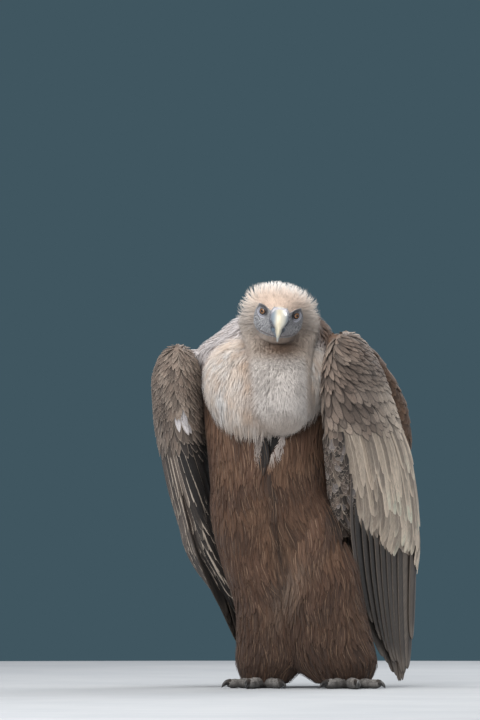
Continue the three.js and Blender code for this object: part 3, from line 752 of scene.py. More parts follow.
def barb_group():
    """What shows on one feather: its shaft, its rim, its barbs and how high they stand."""
    value = "NodeSocketFloat"
    tree, m, given, out = group(
        "Feather barbs",
        {"Feather": ("NodeSocketVector", None), "Shaft width": (value, 0.06), "Barbs": (value, 40.0),
         "Rim": (value, 0.75), "Tip": (value, 1.0)},
        ("Shaft", "Rim", "Barb", "Height"),
    )
    parts = m.node("ShaderNodeSeparateXYZ", given["Feather"]).outputs
    run, across, chance = parts[0], m("ABSOLUTE", parts[1]), parts[2]
    shaft = m.range(m("DIVIDE", across, given["Shaft width"]), 1.0, 0.4)
    m.put(out["Shaft"], m("MULTIPLY", shaft, m.range(run, 1.0, 0.75)))
    slant = m("SUBTRACT", m("MULTIPLY", run, given["Barbs"]), m("MULTIPLY", across, 5.0))
    aside, apart = m("MULTIPLY", parts[1], 1.5), m("MULTIPLY", chance, 90.0)
    barb = m.noise(m.node("ShaderNodeCombineXYZ", slant, aside, apart).outputs[0], 1.0, 4.0, 0.65)
    m.put(out["Barb"], m.range(barb, 0.3, 0.7))
    m.put(out["Height"], m("ADD", m("MULTIPLY", barb, 0.5), shaft))
    edged = m("ADD", across, m("MULTIPLY", m("SUBTRACT", barb, 0.5), 0.35))
    tip = m.range(m("ADD", run, m("MULTIPLY", m("SUBTRACT", barb, 0.5), 0.12)), 0.88, 0.98)
    rim = m.range(m("SUBTRACT", edged, given["Rim"]), 0.0, 0.2)
    m.put(out["Rim"], m("MAXIMUM", rim, m("MULTIPLY", tip, given["Tip"])))
    return tree


def mottle_group():
    """A soft change of tone and height over a surface, in its own place."""
    tree, m, given, out = group(
        "Mottle",
        {"Place": ("NodeSocketVector", None), "Fineness": ("NodeSocketFloat", 60.0)},
        ("Tone", "Height"),
    )
    broad = m.noise(given["Place"], given["Fineness"], 5.0)
    fine = m.noise(given["Place"], m("MULTIPLY", given["Fineness"], 4.3), 2.0)
    m.put(out["Tone"], m.range(m("ADD", m("MULTIPLY", broad, 0.7), m("MULTIPLY", fine, 0.3)), 0.3, 0.7))
    m.put(out["Height"], m("ADD", broad, m("MULTIPLY", fine, 0.4)))
    return tree


def scale_group():
    """Small raised cells with dark seams, as on bare feet and wrinkled skin."""
    tree, m, given, out = group(
        "Cells",
        {"Place": ("NodeSocketVector", None), "Fineness": ("NodeSocketFloat", 300.0)},
        ("Seam", "Height"),
    )
    inputs = {"Vector": given["Place"], "Scale": given["Fineness"]}
    edge = m.named("ShaderNodeTexVoronoi", inputs, feature="DISTANCE_TO_EDGE").outputs[0]
    m.put(out["Seam"], m.range(edge, 0.12, 0.0))
    m.put(out["Height"], m.range(edge, 0.0, 0.3))
    return tree


BARBS, MOTTLE, CELLS = barb_group(), mottle_group(), scale_group()


def finish(name, rough, **more):
    """A new material with the sums that write it and its principled shader."""
    made = bpy.data.materials.new(name)
    made.use_nodes = True
    shader = made.node_tree.nodes["Principled BSDF"]
    shader.inputs["Roughness"].default_value = rough
    for key, value in more.items():
        shader.inputs[key.replace("_", " ").title()].default_value = value
    return made, Maths(made.node_tree), shader.inputs


def read(m, name):
    return m.node("ShaderNodeAttribute", attribute_name=name).outputs["Color" if name == "tint" else "Vector"]


def use(m, tree, **inputs):
    inputs = {key.replace("_", " "): value for key, value in inputs.items()}
    return m.named("ShaderNodeGroup", inputs, node_tree=tree).outputs


def place_of(m):
    return m.node("ShaderNodeTexCoord").outputs["Object"]


def bump(m, shader, height, depth):
    m.put(shader["Normal"], m.named("ShaderNodeBump", {"Distance": depth, "Height": height}).outputs[0])


def feather_material(name, rim, shaft, rim_share, shaft_share, rim_from=0.75, dark=0.0, tip=1.0,
                     shaft_width=0.07, barbs=40.0):
    """Vane feathers: each one's own tint, with barbs, a shaft that shows on some of them and a rim: pale with
    wear on most, dark with painted shade between the lapped scaled coverts.
    The rim and shaft are colours as the eye names them."""
    rim, shaft = linear(*rim), linear(*shaft)
    made, m, shader = finish(name, 0.72, sheen_weight=0.04, sheen_roughness=0.6)
    feather = read(m, "feather")
    out = use(m, BARBS, Feather=feather, Shaft_width=shaft_width, Barbs=barbs, Rim=rim_from, Tip=tip)
    chance = m.node("ShaderNodeSeparateXYZ", feather).outputs[2]
    tint = read(m, "tint")
    streak = m.blend(m("MULTIPLY", out["Barb"], 0.5), tint, (0.3, 0.3, 0.3), "MULTIPLY")
    middle = m("MULTIPLY", m("SUBTRACT", 1.0, out["Rim"]), m("MULTIPLY", m.range(chance, 0.2, 0.9), dark))
    streak = m.blend(middle, streak, (0.2, 0.19, 0.2), "MULTIPLY")
    # the rim's colour: pale wear on most feathers, dark painted shade between the scaled coverts
    edged = m.blend(m("MULTIPLY", out["Rim"], rim_share), streak, rim)
    seen = m("MULTIPLY", m.range(m("FRACT", m("MULTIPLY", chance, 7.0)), 0.3, 0.8), shaft_share)
    m.put(shader["Base Color"], m.blend(m("MULTIPLY", out["Shaft"], seen), edged, shaft))
    bump(m, shader, out["Height"], 0.0006)
    return made


def tinted(m, shader, tone, share, shade, tint=None):
    """The piece's own tint as the shader's colour, darker where the tone is high."""
    tint = tint or read(m, "tint")
    m.put(shader["Base Color"], m.blend(m("MULTIPLY", tone, share), tint, shade, "MULTIPLY"))


def tinted_material(name, rough, fineness, share, shade, deep=0.0, **more):
    """A finish in the piece's own tint, darker where it mottles, and rougher there if it goes deep."""
    made, m, shader = finish(name, rough, **more)
    out = use(m, MOTTLE, Place=place_of(m), Fineness=fineness)
    tinted(m, shader, out["Tone"], share, shade)
    if deep:
        m.put(shader["Roughness"], m.range(out["Tone"], 0.0, 1.0, rough - 0.06, rough + 0.16))
        bump(m, shader, out["Height"], deep)
    return made


def skin_material():
    made, m, shader = finish("skin", 0.6)
    place = place_of(m)
    mottle, cells = use(m, MOTTLE, Place=place, Fineness=140.0), use(m, CELLS, Place=place, Fineness=420.0)
    tone = m.blend(m("MULTIPLY", mottle["Tone"], 0.35), read(m, "tint"), (0.5, 0.5, 0.52), "MULTIPLY")
    tinted(m, shader, cells["Seam"], 0.5, (0.25, 0.24, 0.25), tone)
    bump(m, shader, m("ADD", cells["Height"], mottle["Height"]), 0.0004)
    return made


def plain_material(name, colour, pale, fineness, rough):
    made, m, shader = finish(name, rough)
    out = use(m, MOTTLE, Place=place_of(m), Fineness=fineness)
    m.put(shader["Base Color"], m.blend(out["Tone"], tuple(colour), tuple(pale)))
    return made


DOWN, BARBS_LOOSE = (
    tinted_material(name, 0.95, 55.0, 0.22, (0.55, 0.52, 0.5), sheen_weight=sheen, sheen_roughness=0.7)
    for name, sheen in (("down", 0.25), ("loose barbs", 0.04))
)
SKIN = skin_material()
BODY, WING, MANTLE, SCALED, GREAT, SHADED, SWEPT, FLIGHT = (feather_material(*row) for row in (
    # name, rim, shaft, how much each of the two shows, where the rim starts, how dark the middle, how much
    # the tip shows, the shaft's width, barbs
    ("body feathers", (124, 96, 74), (184, 152, 124), 0.2, 0.55, 0.75, 0.0, 1.0, 0.14, 26.0),
    ("wing coverts", (192, 176, 160), (168, 150, 132), 0.5, 0.25, 0.74, 0.35),
    ("mantle feathers", (140, 118, 98), (70, 56, 46), 0.35, 0.4, 0.8, 0.3),
    # the scaled coverts' dark rim is painted shade in the gaps between lapped feathers
    ("scaled coverts", (62, 52, 46), (160, 142, 126), 0.8, 0.3, 0.68, 0.15, 0.3),
    ("great coverts", (222, 204, 184), (96, 82, 72), 0.6, 0.6, 0.5, 0.6, 0.5),
    ("shaded coverts", (88, 78, 70), (26, 23, 22), 0.4, 0.6, 0.8, 0.3, 0.4),
    ("swept coverts", (214, 198, 180), (60, 52, 48), 0.8, 0.3, 0.6, 0.3, 0.1),
    ("flight feathers", (136, 123, 111), (20, 18, 17), 0.45, 0.9, 0.84, 0.6, 1.0, 0.07, 90.0),
))
HORN, CLAW = (
    tinted_material(name, rough, 90.0, 0.2, (0.6, 0.56, 0.5), 0.00015, coat_weight=0.15, coat_roughness=0.25)
    for name, rough in (("bill horn", 0.32), ("claw horn", 0.38))
)
EYEBALL = tinted_material("eyeball", 0.08, 900.0, 0.4, (0.45, 0.36, 0.3), coat_weight=0.6,
                          coat_roughness=0.02)


# ---- solid forms ----

SOLE = 0.0002  # the lowest that skin and claws come to the ground


def closed(grid, flip=False):
    """Points and faces of a form closed at both ends, from its rings."""
    rings, sides = grid.shape[:2]
    ids = 1 + np.arange(rings * sides).reshape(rings, sides)
    turned = np.roll(ids, -1, axis=1)
    quads = np.stack([ids[:-1], turned[:-1], turned[1:], ids[1:]], axis=-1).reshape(-1, 4)
    last = rings * sides + 1
    start = np.stack([np.zeros(sides, int), turned[0], ids[0]], axis=-1)
    end = np.stack([np.full(sides, last), ids[-1], turned[-1]], axis=-1)
    if flip:
        quads, start, end = quads[:, ::-1], start[:, ::-1], end[:, ::-1]
    points = np.concatenate([grid[0].mean(axis=0)[None], grid.reshape(-1, 3), grid[-1].mean(axis=0)[None]])
    return points, [quads, start, end]


def form(name, points, faces, material=None, tint=None):
    loops = np.concatenate([f.reshape(-1) for f in faces])
    sizes = np.concatenate([np.full(len(f), f.shape[1]) for f in faces])
    made = mesh_object(name, points, loops, sizes, material)
    if tint is not None:
        give(made.data, "tint", opaque(tint))
    return made


def forms(name, parts, material):
    """Several closed forms in one mesh. Each part is its points, faces and colours."""
    points, faces, tints, start = [], [], [], 0
    for at, its_faces, tint in parts:
        points.append(at)
        tints.append(tint)
        faces += [f + start for f in its_faces]
        start += len(at)
    return form(name, np.concatenate(points), faces, material, np.concatenate(tints))


def around(count):
    return np.linspace(0, TAU, count, endpoint=False)


def loft(mass, sides, vs, lift=0.0):
    return closed(mass.net(around(sides), vs, lift), flip=mass.sign < 0)


def tube(path, radii, sides, high=1.0):
    """A round rod along a path. Nothing of it goes below the sole."""
    path, radii = np.asarray(path, float), np.asarray(radii, float)
    way = unit(np.gradient(path, axis=0))
    side = np.cross([0.0, 0.0, 1.0], way)
    side = unit(np.where(np.linalg.norm(side, axis=-1, keepdims=True) < 0.1, [1.0, 0, 0], side))
    up = np.cross(way, side)
    c, s = (f(around(sides))[None, :, None] for f in (np.cos, np.sin))
    round_way = c * side[:, None] + high * s * up[:, None]
    grid = path[:, None] + radii[:, None, None] * round_way
    grid[..., 2] = np.maximum(grid[..., 2], SOLE)
    return closed(grid)


TOE_HIGH, PAD_RADIUS, PAD_HIGH = 8.5, 19.0, 25.0  # in millimetres


def toe_lines(foot, turn, side):
    """For each toe its middle line with radii, and its claw's, in metres."""
    made = []
    for _, out, length, radius, claw in TOES:
        heading = math.radians(turn + side * out)
        way = np.array([math.sin(heading), -math.cos(heading), 0])
        start = np.array([*foot, 0.0])

        def at(reach, z):
            return start + reach[..., None] * way + z[..., None] * np.array([0, 0, 1.0])

        share = np.linspace(0, 1, 34)
        knuckles = np.interp(share, [0, 0.16, 0.32, 0.48, 0.64, 0.8, 0.92, 1], np.linspace(0, 1, 8))
        girth = np.array([1, 1.02, 0.9, 1, 0.84, 0.94, 0.8, 0.6])[:, None]
        reach = PAD_RADIUS * 0.5 + length * share
        radii = radius * along(girth, knuckles)[:, 0]
        toe = at(reach, TOE_HIGH + 1.5 * (1 - share))
        s = np.linspace(0, 1, 16)
        claw_radii = radius * 1.15 * np.interp(s, [0, 0.3, 0.6, 0.85, 1], [0.44, 0.4, 0.29, 0.15, 0.02])
        out_to = PAD_RADIUS * 0.5 + length * 0.93 + claw * np.sin(1.25 * s)
        hook = at(out_to, 1.2 + (TOE_HIGH + 3) * np.cos(1.55 * s))
        made.append((toe * MM + STANCE, radii * MM, hook * MM + STANCE, claw_radii * MM))
    return made


FEET = [("left", LEFT_FOOT, LEFT_FOOT_TURN, 1), ("right", RIGHT_FOOT, RIGHT_FOOT_TURN, -1)]


def foot_colour(p):
    z = p[..., 2]
    colour = mix(FOOT_GREY, FOOT_DARK, 0.6 * smooth(blotches(p, 0.02, 30), -0.5, 1))
    return mix(colour, FOOT_DARK * 0.7, smooth(0.012 - z, 0, 0.012))


PLAIN_REACH = 0.022  # how widely the thighs' skin runs into what it meets, in metres
SKIN_SWELL = 0.8  # the share of the coat's swelling that the skin takes
HEAD_SIDES = 300  # fine enough for the lids and the folds of the bare face


def skin_parts():
    """Every part of the skin as points, faces and colours, lying inside the coat by its depth."""
    even = np.linspace(0, 1, 90)[1:-1]
    made = []

    def add(mass, kind, sides, vs, colour, meets=(), reach=lambda p: PLAIN_REACH):
        points, faces = loft(mass, sides, vs, -COAT_DEPTH[kind] * MM)
        if meets:
            middle = along(mass.rings, vs)[:, :3]
            centre = np.concatenate([middle[:1], np.repeat(middle, sides, axis=0), middle[-1:]])
            outer, _ = loft(mass, sides, vs)
            points = points + unit(outer - centre) * swell(outer, meets, reach(outer))[:, None] * SKIN_SWELL
        made.append((points, faces, colour(points)))

    add(trunk, "trunk", 84, even, body_colour, (left_thigh, right_thigh, neck), trunk_reach)
    add(ruff, "ruff", 64, even[::2], ruff_colour)
    add(neck, "neck", 84, even, down_colour, (head, trunk), neck_reach)
    for mass, other in ((left_thigh, right_thigh), (right_thigh, left_thigh)):
        add(mass, "thigh", 48, [*even[::2], 1.0], body_colour, (trunk, other))
    for mass, left in ((left_fold, True), (right_fold, False)):
        add(mass, "wing", 72, [*even[::2], 1.0], partial(wing_colour, left=left))
    for mass in (left_scapulars, right_scapulars):
        add(mass, "scapulars", 56, even[::2], body_colour)

    vs = np.concatenate([np.linspace(0.02, 0.5, 36, endpoint=False), np.linspace(0.5, 1, 90)])
    plain, faces = loft(head, HEAD_SIDES, vs)
    low, _ = loft(head, HEAD_SIDES, vs, -COAT_DEPTH["head"] * MM)
    shift, bare_colour, bare = face_form(plain)
    base = low + (plain - low) * bare[:, None]
    base += unit(plain - low) * (swell(plain, (neck,), head_reach(plain)) * (1 - bare) * SKIN_SWELL)[:, None]
    f, c, h = (MM * shift[:, k, None] for k in range(3))
    head_points = base + f * HEAD_FORWARD + c * HEAD_LEFT + h * HEAD_UP
    made.append((head_points, faces, mix(down_colour(plain), bare_colour, bare)))

    for _, foot, turn, side in FEET:
        x, y = foot
        shank = [(x - 8 * side, y + 12, 96), (x - 6 * side, y + 9, 64), (x - 2 * side, y + 3, 36), (x, y, 14)]
        shank = along(shank, np.linspace(0, 1, 30))
        girth = np.interp(np.linspace(0, 1, 30), [0, 0.5, 0.85, 1], [11, 10.4, 12.4, 14])
        top = PAD_HIGH
        pad = [(top, 0.3), (top - 3, 0.62), (top * 0.7, 0.9), (top * 0.4, 1), (3, 0.97), (0.2, 0.84)]
        heights, wide = along(pad, np.linspace(0, 1, 16)).T
        points = np.stack([np.full(16, x), np.full(16, y), heights], axis=-1)
        for path, radii, sides in ((shank, girth, 28), (points, wide * PAD_RADIUS, 40)):
            at, its_faces = tube(path * MM + STANCE, radii * MM, sides)
            made.append((at, its_faces, foot_colour(at)))
        for toe, radii, _, _ in toe_lines(foot, turn, side):
            at, its_faces = tube(toe, radii, 24)
            made.append((at, its_faces, foot_colour(at)))
    return made


def one_skin(name, parts, material):
    """The parts joined into one closed surface, each point keeping the colour of the nearest part."""
    objects = [form(f"part {i}", points, faces) for i, (points, faces, _) in enumerate(parts)]
    base, others = objects[0], bpy.data.collections.new("skin parts")
    for other in objects[1:]:
        others.objects.link(other)
    join = base.modifiers.new("join", "BOOLEAN")
    join.operation, join.operand_type, join.solver = "UNION", "COLLECTION", "MANIFOLD"
    join.collection = others
    joined = bpy.data.meshes.new_from_object(base.evaluated_get(bpy.context.evaluated_depsgraph_get()))
    for old in objects:
        bpy.data.objects.remove(old)
    bpy.data.collections.remove(others)

    every, tints = np.concatenate([p for p, _, _ in parts]), np.concatenate([t for _, _, t in parts])
    tree = mathutils.kdtree.KDTree(len(every))
    for i, p in enumerate(every):
        tree.insert(p, i)
    tree.balance()
    nearest = np.array([tree.find(p)[1] for p in held(joined.vertices, "co", 3)])
    give(joined, "tint", opaque(tints[nearest]))
    joined.name = name
    joined.materials.clear()
    joined.materials.append(material)
    joined.shade_smooth()
    return stand(name, joined)


skin = one_skin("skin", skin_parts(), SKIN)
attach(skin, "root")
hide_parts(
    "head", "neck", "ruff", "trunk", "thigh_left", "thigh_right", "wing_left_fold", "wing_right_fold",
    "wing_left_scapulars", "wing_right_scapulars", "foot_left", "foot_right", "shank_left", "shank_right",
    *(f"toe_{side}_{toe[0]}" for side in ("left", "right") for toe in TOES),
)


# ---- bill, cere, eyes and claws ----

def put(piece, slot, *nodes):
    """The piece goes with the bird and stands for these solids, which it hides. The slot is not used."""
    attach(piece, "root")
    if nodes:
        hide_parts(*nodes)


IVORY, IVORY_WARM, BILL_BLUE = linear(200, 198, 188), linear(198, 186, 156), linear(116, 134, 150)


def bill_colour(p):
    f, c, h = from_head(p)
    colour = mix(IVORY, IVORY_WARM, 0.7 * dome(c + 2, 6) * smooth(f, 0, 25))
    colour = mix(colour, BILL_BLUE, 0.85 * smooth(np.abs(c - 1.5), 6, 15) + 0.65 * smooth(-h, 8, 26))
    return mix(colour, SKIN_DARK, 0.7 * smooth(-h - 0.25 * f, 8, 16) * (1 - smooth(f, 34, 46)))


def cere_form(p):
    """The cere with its nostrils pressed in, and its colours."""
    f, c, h = from_head(p)
    a = np.abs(c)
    slit = np.hypot((f - 4 - 0.5 * (h - 8)) / 2.6, (h - 8) / 5.2)
    hole = smooth(a, 10, 15) * (1 - smooth(slit, 0.6, 1.15))
    ridge = 0.35 * np.sin(f * TAU / 5.0) * smooth(h, 0, 12)
    side = np.where(c == 0, 0, np.sign(c))
    moved = p + MM * ((-3.2 * hole + ridge) * side)[:, None] * HEAD_LEFT
    colour = mix(linear(120, 122, 130), linear(205, 202, 210), smooth(h, 6, 20))
    colour = mix(colour, SKIN_PALE, 0.5 * smooth(blotches(p, 0.006, 31), 0.2, 1))
    # the nostrils' near black is painted shade inside them
    return moved, mix(colour, linear(18, 16, 16), hole)


def slimmed(points, share, high, low):
    """A bill's points, drawn in towards its middle plane in front of its base and below its ridge."""
    f, c, h = from_head(points)
    return points - (c * MM * share * smooth(-h, high, low) * smooth(f, 2, 26))[:, None] * HEAD_LEFT


def lower_colour(p):
    return mix(BILL_BLUE, SKIN_DARK, 0.35 + 0.4 * smooth(blotches(p, 0.02, 32), 0, 1))


for name, mass, sides, rings, drawn_in, colour in (
    ("upper", facing(UPPER_BILL, 1.1), 64, 90, (0.45, -6, 9), bill_colour),
    ("lower", facing(LOWER_BILL), 48, 50, (0.42, 0, 10), lower_colour),
):
    points, faces = loft(mass, sides, np.linspace(0, 1, rings)[:-1])
    points = slimmed(points, *drawn_in)
    put(form(f"{name}_bill", points, faces, HORN, colour(points)), "bill", f"bill_{name}")
points, faces = loft(facing(CERE, 1.1), 120, np.linspace(0, 1, 60))
points, colours = cere_form(points)
put(form("cere_skin", points, faces, SKIN, colours), "bare_skin", "cere")


def eyeball(side):
    """One eye: a ball with its pole along the gaze and a slightly raised cornea."""
    gaze = unit(np.array(GAZE)) * (1, side, 1)
    across = unit(np.cross(gaze, (0, 0, 1)))
    up = np.cross(across, gaze)
    polar = np.concatenate([np.linspace(0.02, 0.75, 44), np.linspace(0.8, math.pi - 0.05, 26)])[:, None]
    angle = around(48)[None]
    ball = np.cos(polar)[..., None] * gaze + np.sin(polar)[..., None] * (
        np.cos(angle)[..., None] * across + np.sin(angle)[..., None] * up
    )
    middle = np.array([EYE_AT[0], EYE_AT[1] * side, EYE_AT[2]])
    spot = middle + ball * (EYE_RADIUS + 0.35 * (1 - smooth(polar, 0.3, 0.7)))[..., None]
    points, faces = closed(in_head(*np.moveaxis(spot, -1, 0)), flip=True)
    off = np.stack(from_head(points), axis=-1) - middle
    wide = np.linalg.norm(off - (off @ gaze)[:, None] * gaze, axis=-1)
    front = off @ gaze > 0
    thread = 0.5 + 0.5 * np.sin(24 * np.arctan2(off @ up, off @ across) + 2 * wide)
    colour = mix(linear(116, 74, 44), linear(176, 130, 86), 0.6 * dome(wide - 3.8, 0.9) + 0.25 * thread)
    # painted shade of the upper lid on the iris's upper part
    colour = colour * (1 - 0.45 * smooth(off @ up, 0, 4.5))[:, None]
    colour = mix(colour, linear(70, 42, 26), smooth(wide, *IRIS_RIM))
    colour = mix(colour, linear(24, 18, 17), np.maximum(smooth(wide, *IRIS_EDGE), 1.0 - front))
    return points, faces, mix(colour, linear(6, 5, 6), front * (1 - smooth(wide, *PUPIL_EDGE)))


for name, side in (("left", 1), ("right", -1)):
    put(forms(f"eyeball_{name}", [eyeball(side)], EYEBALL), "eye", f"eye_{name}")

for name, foot, turn, side in FEET:
    hooks = []
    for _, _, hook, radii in toe_lines(foot, turn, side):
        points, faces = tube(hook, radii, 20, high=1.15)
        share = np.concatenate([[0], np.repeat(np.linspace(0, 1, len(hook)), 20), [1]])
        dark = smooth(share + 0.15 * blotches(points, 0.006, 33), 0, 0.6)
        hooks.append((points, faces, mix(linear(74, 68, 64), linear(26, 24, 24), dark)))
    put(forms(f"claws_{name}", hooks, CLAW), "claw", *(f"claw_{name}_{toe[0]}" for toe in TOES))


def scute_tree():
    """Curved plates set across each toe's middle line, one after another, sized by its girth."""
    value = "NodeSocketFloat"
    tree, m, given, out = group(
        "Toe scutes",
        {"Toes": ("NodeSocketGeometry", None), "Spacing": (value, 0.005), "Sweep": (value, 2.2),
         "Plate length": (value, 0.24), "Plate rise": (value, 0.09), "Horn": ("NodeSocketMaterial", None)},
        ("Scutes",), "GeometryNodeTree", "NodeSocketGeometry",
    )
    line = m.node("GeometryNodeMeshToCurve", given["Toes"]).outputs[0]
    evenly = m.named("GeometryNodeResampleCurve", {"Curve": line, "Length": given["Spacing"]}, mode="LENGTH")
    arc = m.named("GeometryNodeCurveArc", {
        "Resolution": 9, "Radius": 1.0, "Start Angle": m("MULTIPLY", given["Sweep"], -0.5),
        "Sweep Angle": given["Sweep"],
    })
    ring = m.named("GeometryNodeCurvePrimitiveCircle", {"Resolution": 8, "Radius": 1.0})
    size = m.node("ShaderNodeCombineXYZ", given["Plate rise"], given["Plate length"], 1.0)
    oval = m.named("GeometryNodeTransform", {"Geometry": ring.outputs["Curve"], "Scale": size.outputs[0]})
    plate = m.named("GeometryNodeCurveToMesh", {
        "Curve": arc.outputs["Curve"], "Profile Curve": oval.outputs["Geometry"], "Fill Caps": True,
    })
    girth = m.named("GeometryNodeInputNamedAttribute", {"Name": "girth"}, data_type="FLOAT")
    toe_way = m.node("GeometryNodeInputTangent").outputs[0]
    ahead = m.named("FunctionNodeAlignRotationToVector", {"Vector": toe_way}, axis="Z")
    up = {"Rotation": ahead.outputs[0], "Vector": (0, 0, 1)}
    upright = m.named("FunctionNodeAlignRotationToVector", up, axis="X", pivot_axis="Z")
    placed = m.named("GeometryNodeInstanceOnPoints", {
        "Points": evenly.outputs[0], "Instance": plate.outputs[0], "Rotation": upright.outputs[0],
        "Scale": girth.outputs["Attribute"],
    })
    solid = m.node("GeometryNodeRealizeInstances", placed.outputs[0])
    finished = m.named("GeometryNodeSetMaterial", {"Geometry": solid.outputs[0], "Material": given["Horn"]})
    m.put(out["Scutes"], finished.outputs[0])
    return tree


SCUTES = scute_tree()
SCUTE = plain_material("scutes", FOOT_DARK * 0.8, FOOT_GREY * 1.15, 160.0, 0.5)


def scutes(name, lines):
    """The plates along the toes' middle lines, each line with its radii, as a plain mesh."""
    points = np.concatenate([line for line, _ in lines])
    mesh = bpy.data.meshes.new(name)
    starts = np.cumsum([0] + [len(line) for line, _ in lines])
    edges = [(i, i + 1) for a, b in zip(starts, starts[1:]) for i in range(a, b - 1)]
    mesh.from_pydata(points.tolist(), edges, [])
    girth = np.concatenate([radii for _, radii in lines])
    mesh.attributes.new("girth", "FLOAT", "POINT").data.foreach_set("value", girth)
    base = stand(name, mesh)
    build = base.modifiers.new("scutes", "NODES")
    build.node_group = SCUTES
    build[SCUTES.interface.items_tree["Horn"].identifier] = SCUTE
    made = bpy.data.meshes.new_from_object(base.evaluated_get(bpy.context.evaluated_depsgraph_get()))
    base.modifiers.remove(build)
    base.data = made
    made.name = name
    made.shade_smooth()
    return base


for name, foot, turn, side in FEET:
    lines = [(toe[6:], radii[6:] * 0.985) for toe, radii, _, _ in toe_lines(foot, turn, side)]
    put(scutes(f"scutes_{name}", lines), "foot_scales")


# ---- the coat ----

COAT_FLOOR = 0.009  # the lowest that the coat comes to the ground
ROOT_DEPTH, TIP_LIFT = -9, 0.8  # where a vane feather starts and ends, in millimetres off its mass
DOWN_SOFTNESS = 0.7  # how far down is shaded as one surface
# Shares of a feather's length, and its half widths there.
STRAND, HAIR = np.array([0, 0.35, 0.7, 1]), (0.8, 1, 0.65, 0.08)
LOCK, LOCK_SHAPE = np.linspace(0, 1, 5), (0.8, 1, 0.8, 0.5, 0.06)
LEAF = np.array([0, 0.22, 0.45, 0.66, 0.83, 0.94, 1])
ROUND = (0.4, 0.75, 0.95, 1, 0.85, 0.52, 0.08)
LANCE = (0.45, 0.85, 1, 0.88, 0.6, 0.3, 0.04)


def lay(mass, u, v, colour, length, width, depth, flow, shares=LEAF, profile=ROUND, section=VANE, rise=0.5,
        climb=0.7, cup=0.15, shade=0.1, root=0.85, tip=1.05, meets=(), reach=None, hang=0.0):
    """Feathers or tufts on a mass with their roots at u, v, as one chunk for strips(). Sizes in millimetres.
    reach(p) is how widely the coat runs into the masses that it meets, and hang is how far it falls free."""
    path, normal = trail(mass, u, v, flow, length * MM, shares, (depth[0] * MM, depth[1] * MM), climb)
    if meets:
        path += normal * swell(path, meets, reach(path))[..., None]
    if hang:
        straight = path[:, :1] - np.asarray(shares)[:, None] * (0, 0, MM) * np.reshape(length, (-1, 1, 1))
        path += (straight - path) * (hang * smooth(np.asarray(shares), 0.2, 1))[:, None]
    path[..., 2] = np.maximum(path[..., 2], COAT_FLOOR)
    at, place = strip(path, normal, width * MM, rise * MM, shares, profile, section, cup)
    tint = paint(colour(path[:, len(shares) // 2]), place, shade, root, tip)
    return at, place, tint, unwrap(u, v), normal


def kept(mass, roots, *tests):
    """The roots whose points pass every test."""
    u, v = roots
    p = mass.point(u, v)
    keep = np.ones(len(u), bool)
    for test in tests:
        keep &= test(p)
    return u[keep], v[keep]


def outside(margin, *masses):
    return lambda p: ~np.any([m.holds(p, margin * MM) for m in masses], axis=0)


def several(mean, spread, like):
    """Sizes about a mean, one for each feather."""
    return mean * (1 + spread * rng.normal(0, 1, len(like)).clip(-2, 2))


def waves(mass, size, amount, seed, lean=0.0):
    """A flow that wanders a little over the surface, the same for neighbours."""
    return lambda u, v: lean + amount * blotches(mass.point(u, v), size, seed)


def rearward(p):
    """How far up and back on the head a point is, where the down is longer."""
    f, _, h = from_head(p)
    return smooth(-f, 24, 60) * 0.75 + 0.25 * smooth(h, 10, 34)


def head_down():
    """Short down on the head, longer and looser to the rear, with a raised fringe behind the cheeks."""
    chunks = []
    for step, gap, length, deep, lift, width, least in (
        (2.2, 1.75, 8.0, -8.5, -1.5, 0.7, 0), (3.1, 2.6, 11.5, -7, 2.5, 0.5, 0),
        (4.8, 4.0, 18.5, -4, 12.5, 0.7, 0.25),
    ):
        u, v = kept(head, rows(head, 0.16, 1, step, gap), outside(12, neck),
                    lambda p: (bareness(p) < 0.5) & (rearward(p) >= least))
        p = head.point(u, v)
        f, c, h = from_head(p)
        far = rearward(p)
        chin = smooth(-h, 36, 46) * smooth(f, -70, -40)
        size = several(length, 0.18, u) * (0.38 + 0.62 * far) * (1 - 0.3 * chin)
        cheek = smooth(np.abs(c), 24, 38)
        spread = 1 + 0.9 * cheek * (1 - smooth(h, 10, 34)) - 0.2 * smooth(h, 14, 36)
        raised = lift * (0.25 + 0.75 * far) * spread
        wander = waves(head, 0.02, 0.35, 40, math.pi)
        loose = rng.normal(0, 0.24, len(u))
        chunks.append(lay(
            head, u, v, down_colour, size, several(width, 0.2, u), (deep, raised + 7 * chin),
            lambda a, b: wander(a, b) + loose, STRAND, HAIR, TUFT, 0.35, 0.9, 0, shade=0.07, meets=(neck,),
            reach=head_reach,
        ))
    return chunks


def tufts(mass, roots, colour, length, width, depth, wander, loose, spread=(0.2, 0.2), shares=STRAND,
          profile=HAIR, rise=0.4, **more):
    """Down or loose barbs, each straying a little from the way that its neighbours wander."""
    u, v = roots
    stray = rng.normal(0, loose, len(u))
    return lay(
        mass, u, v, colour, several(length, spread[0], u), several(width, spread[1], u), depth,
        lambda a, b: wander(a, b) + stray, shares, profile, TUFT, rise, cup=0, **more,
    )


def layers(mass, tests, table, deep, **more):
    """Down in layers with their roots at one depth, in millimetres. Each row of the table has step, gap,
    length, lift, width, start and hang."""
    return [
        tufts(mass, kept(mass, rows(mass, start, 0.97, step, gap), *tests), length=length, width=width,
              depth=(deep, lift), hang=hang, climb=0.8, shade=0.07, **more)
        for step, gap, length, lift, width, start, hang in table
    ]


def neck_down():
    return layers(
        neck, (outside(11, head, trunk), outside(9, ruff)),
        ((3.6, 2.2, 14, 1.0, 0.65, 0.02, 0), (5.6, 4.2, 18, 4.0, 0.45, 0.02, 0),
         (6, 5, 22, 4, 0.45, 0.72, 0.4)),
        -12, colour=down_colour, wander=waves(neck, 0.05, 0.16, 41), loose=0.2, root=0.9, meets=(head, trunk),
        reach=neck_reach,
    )


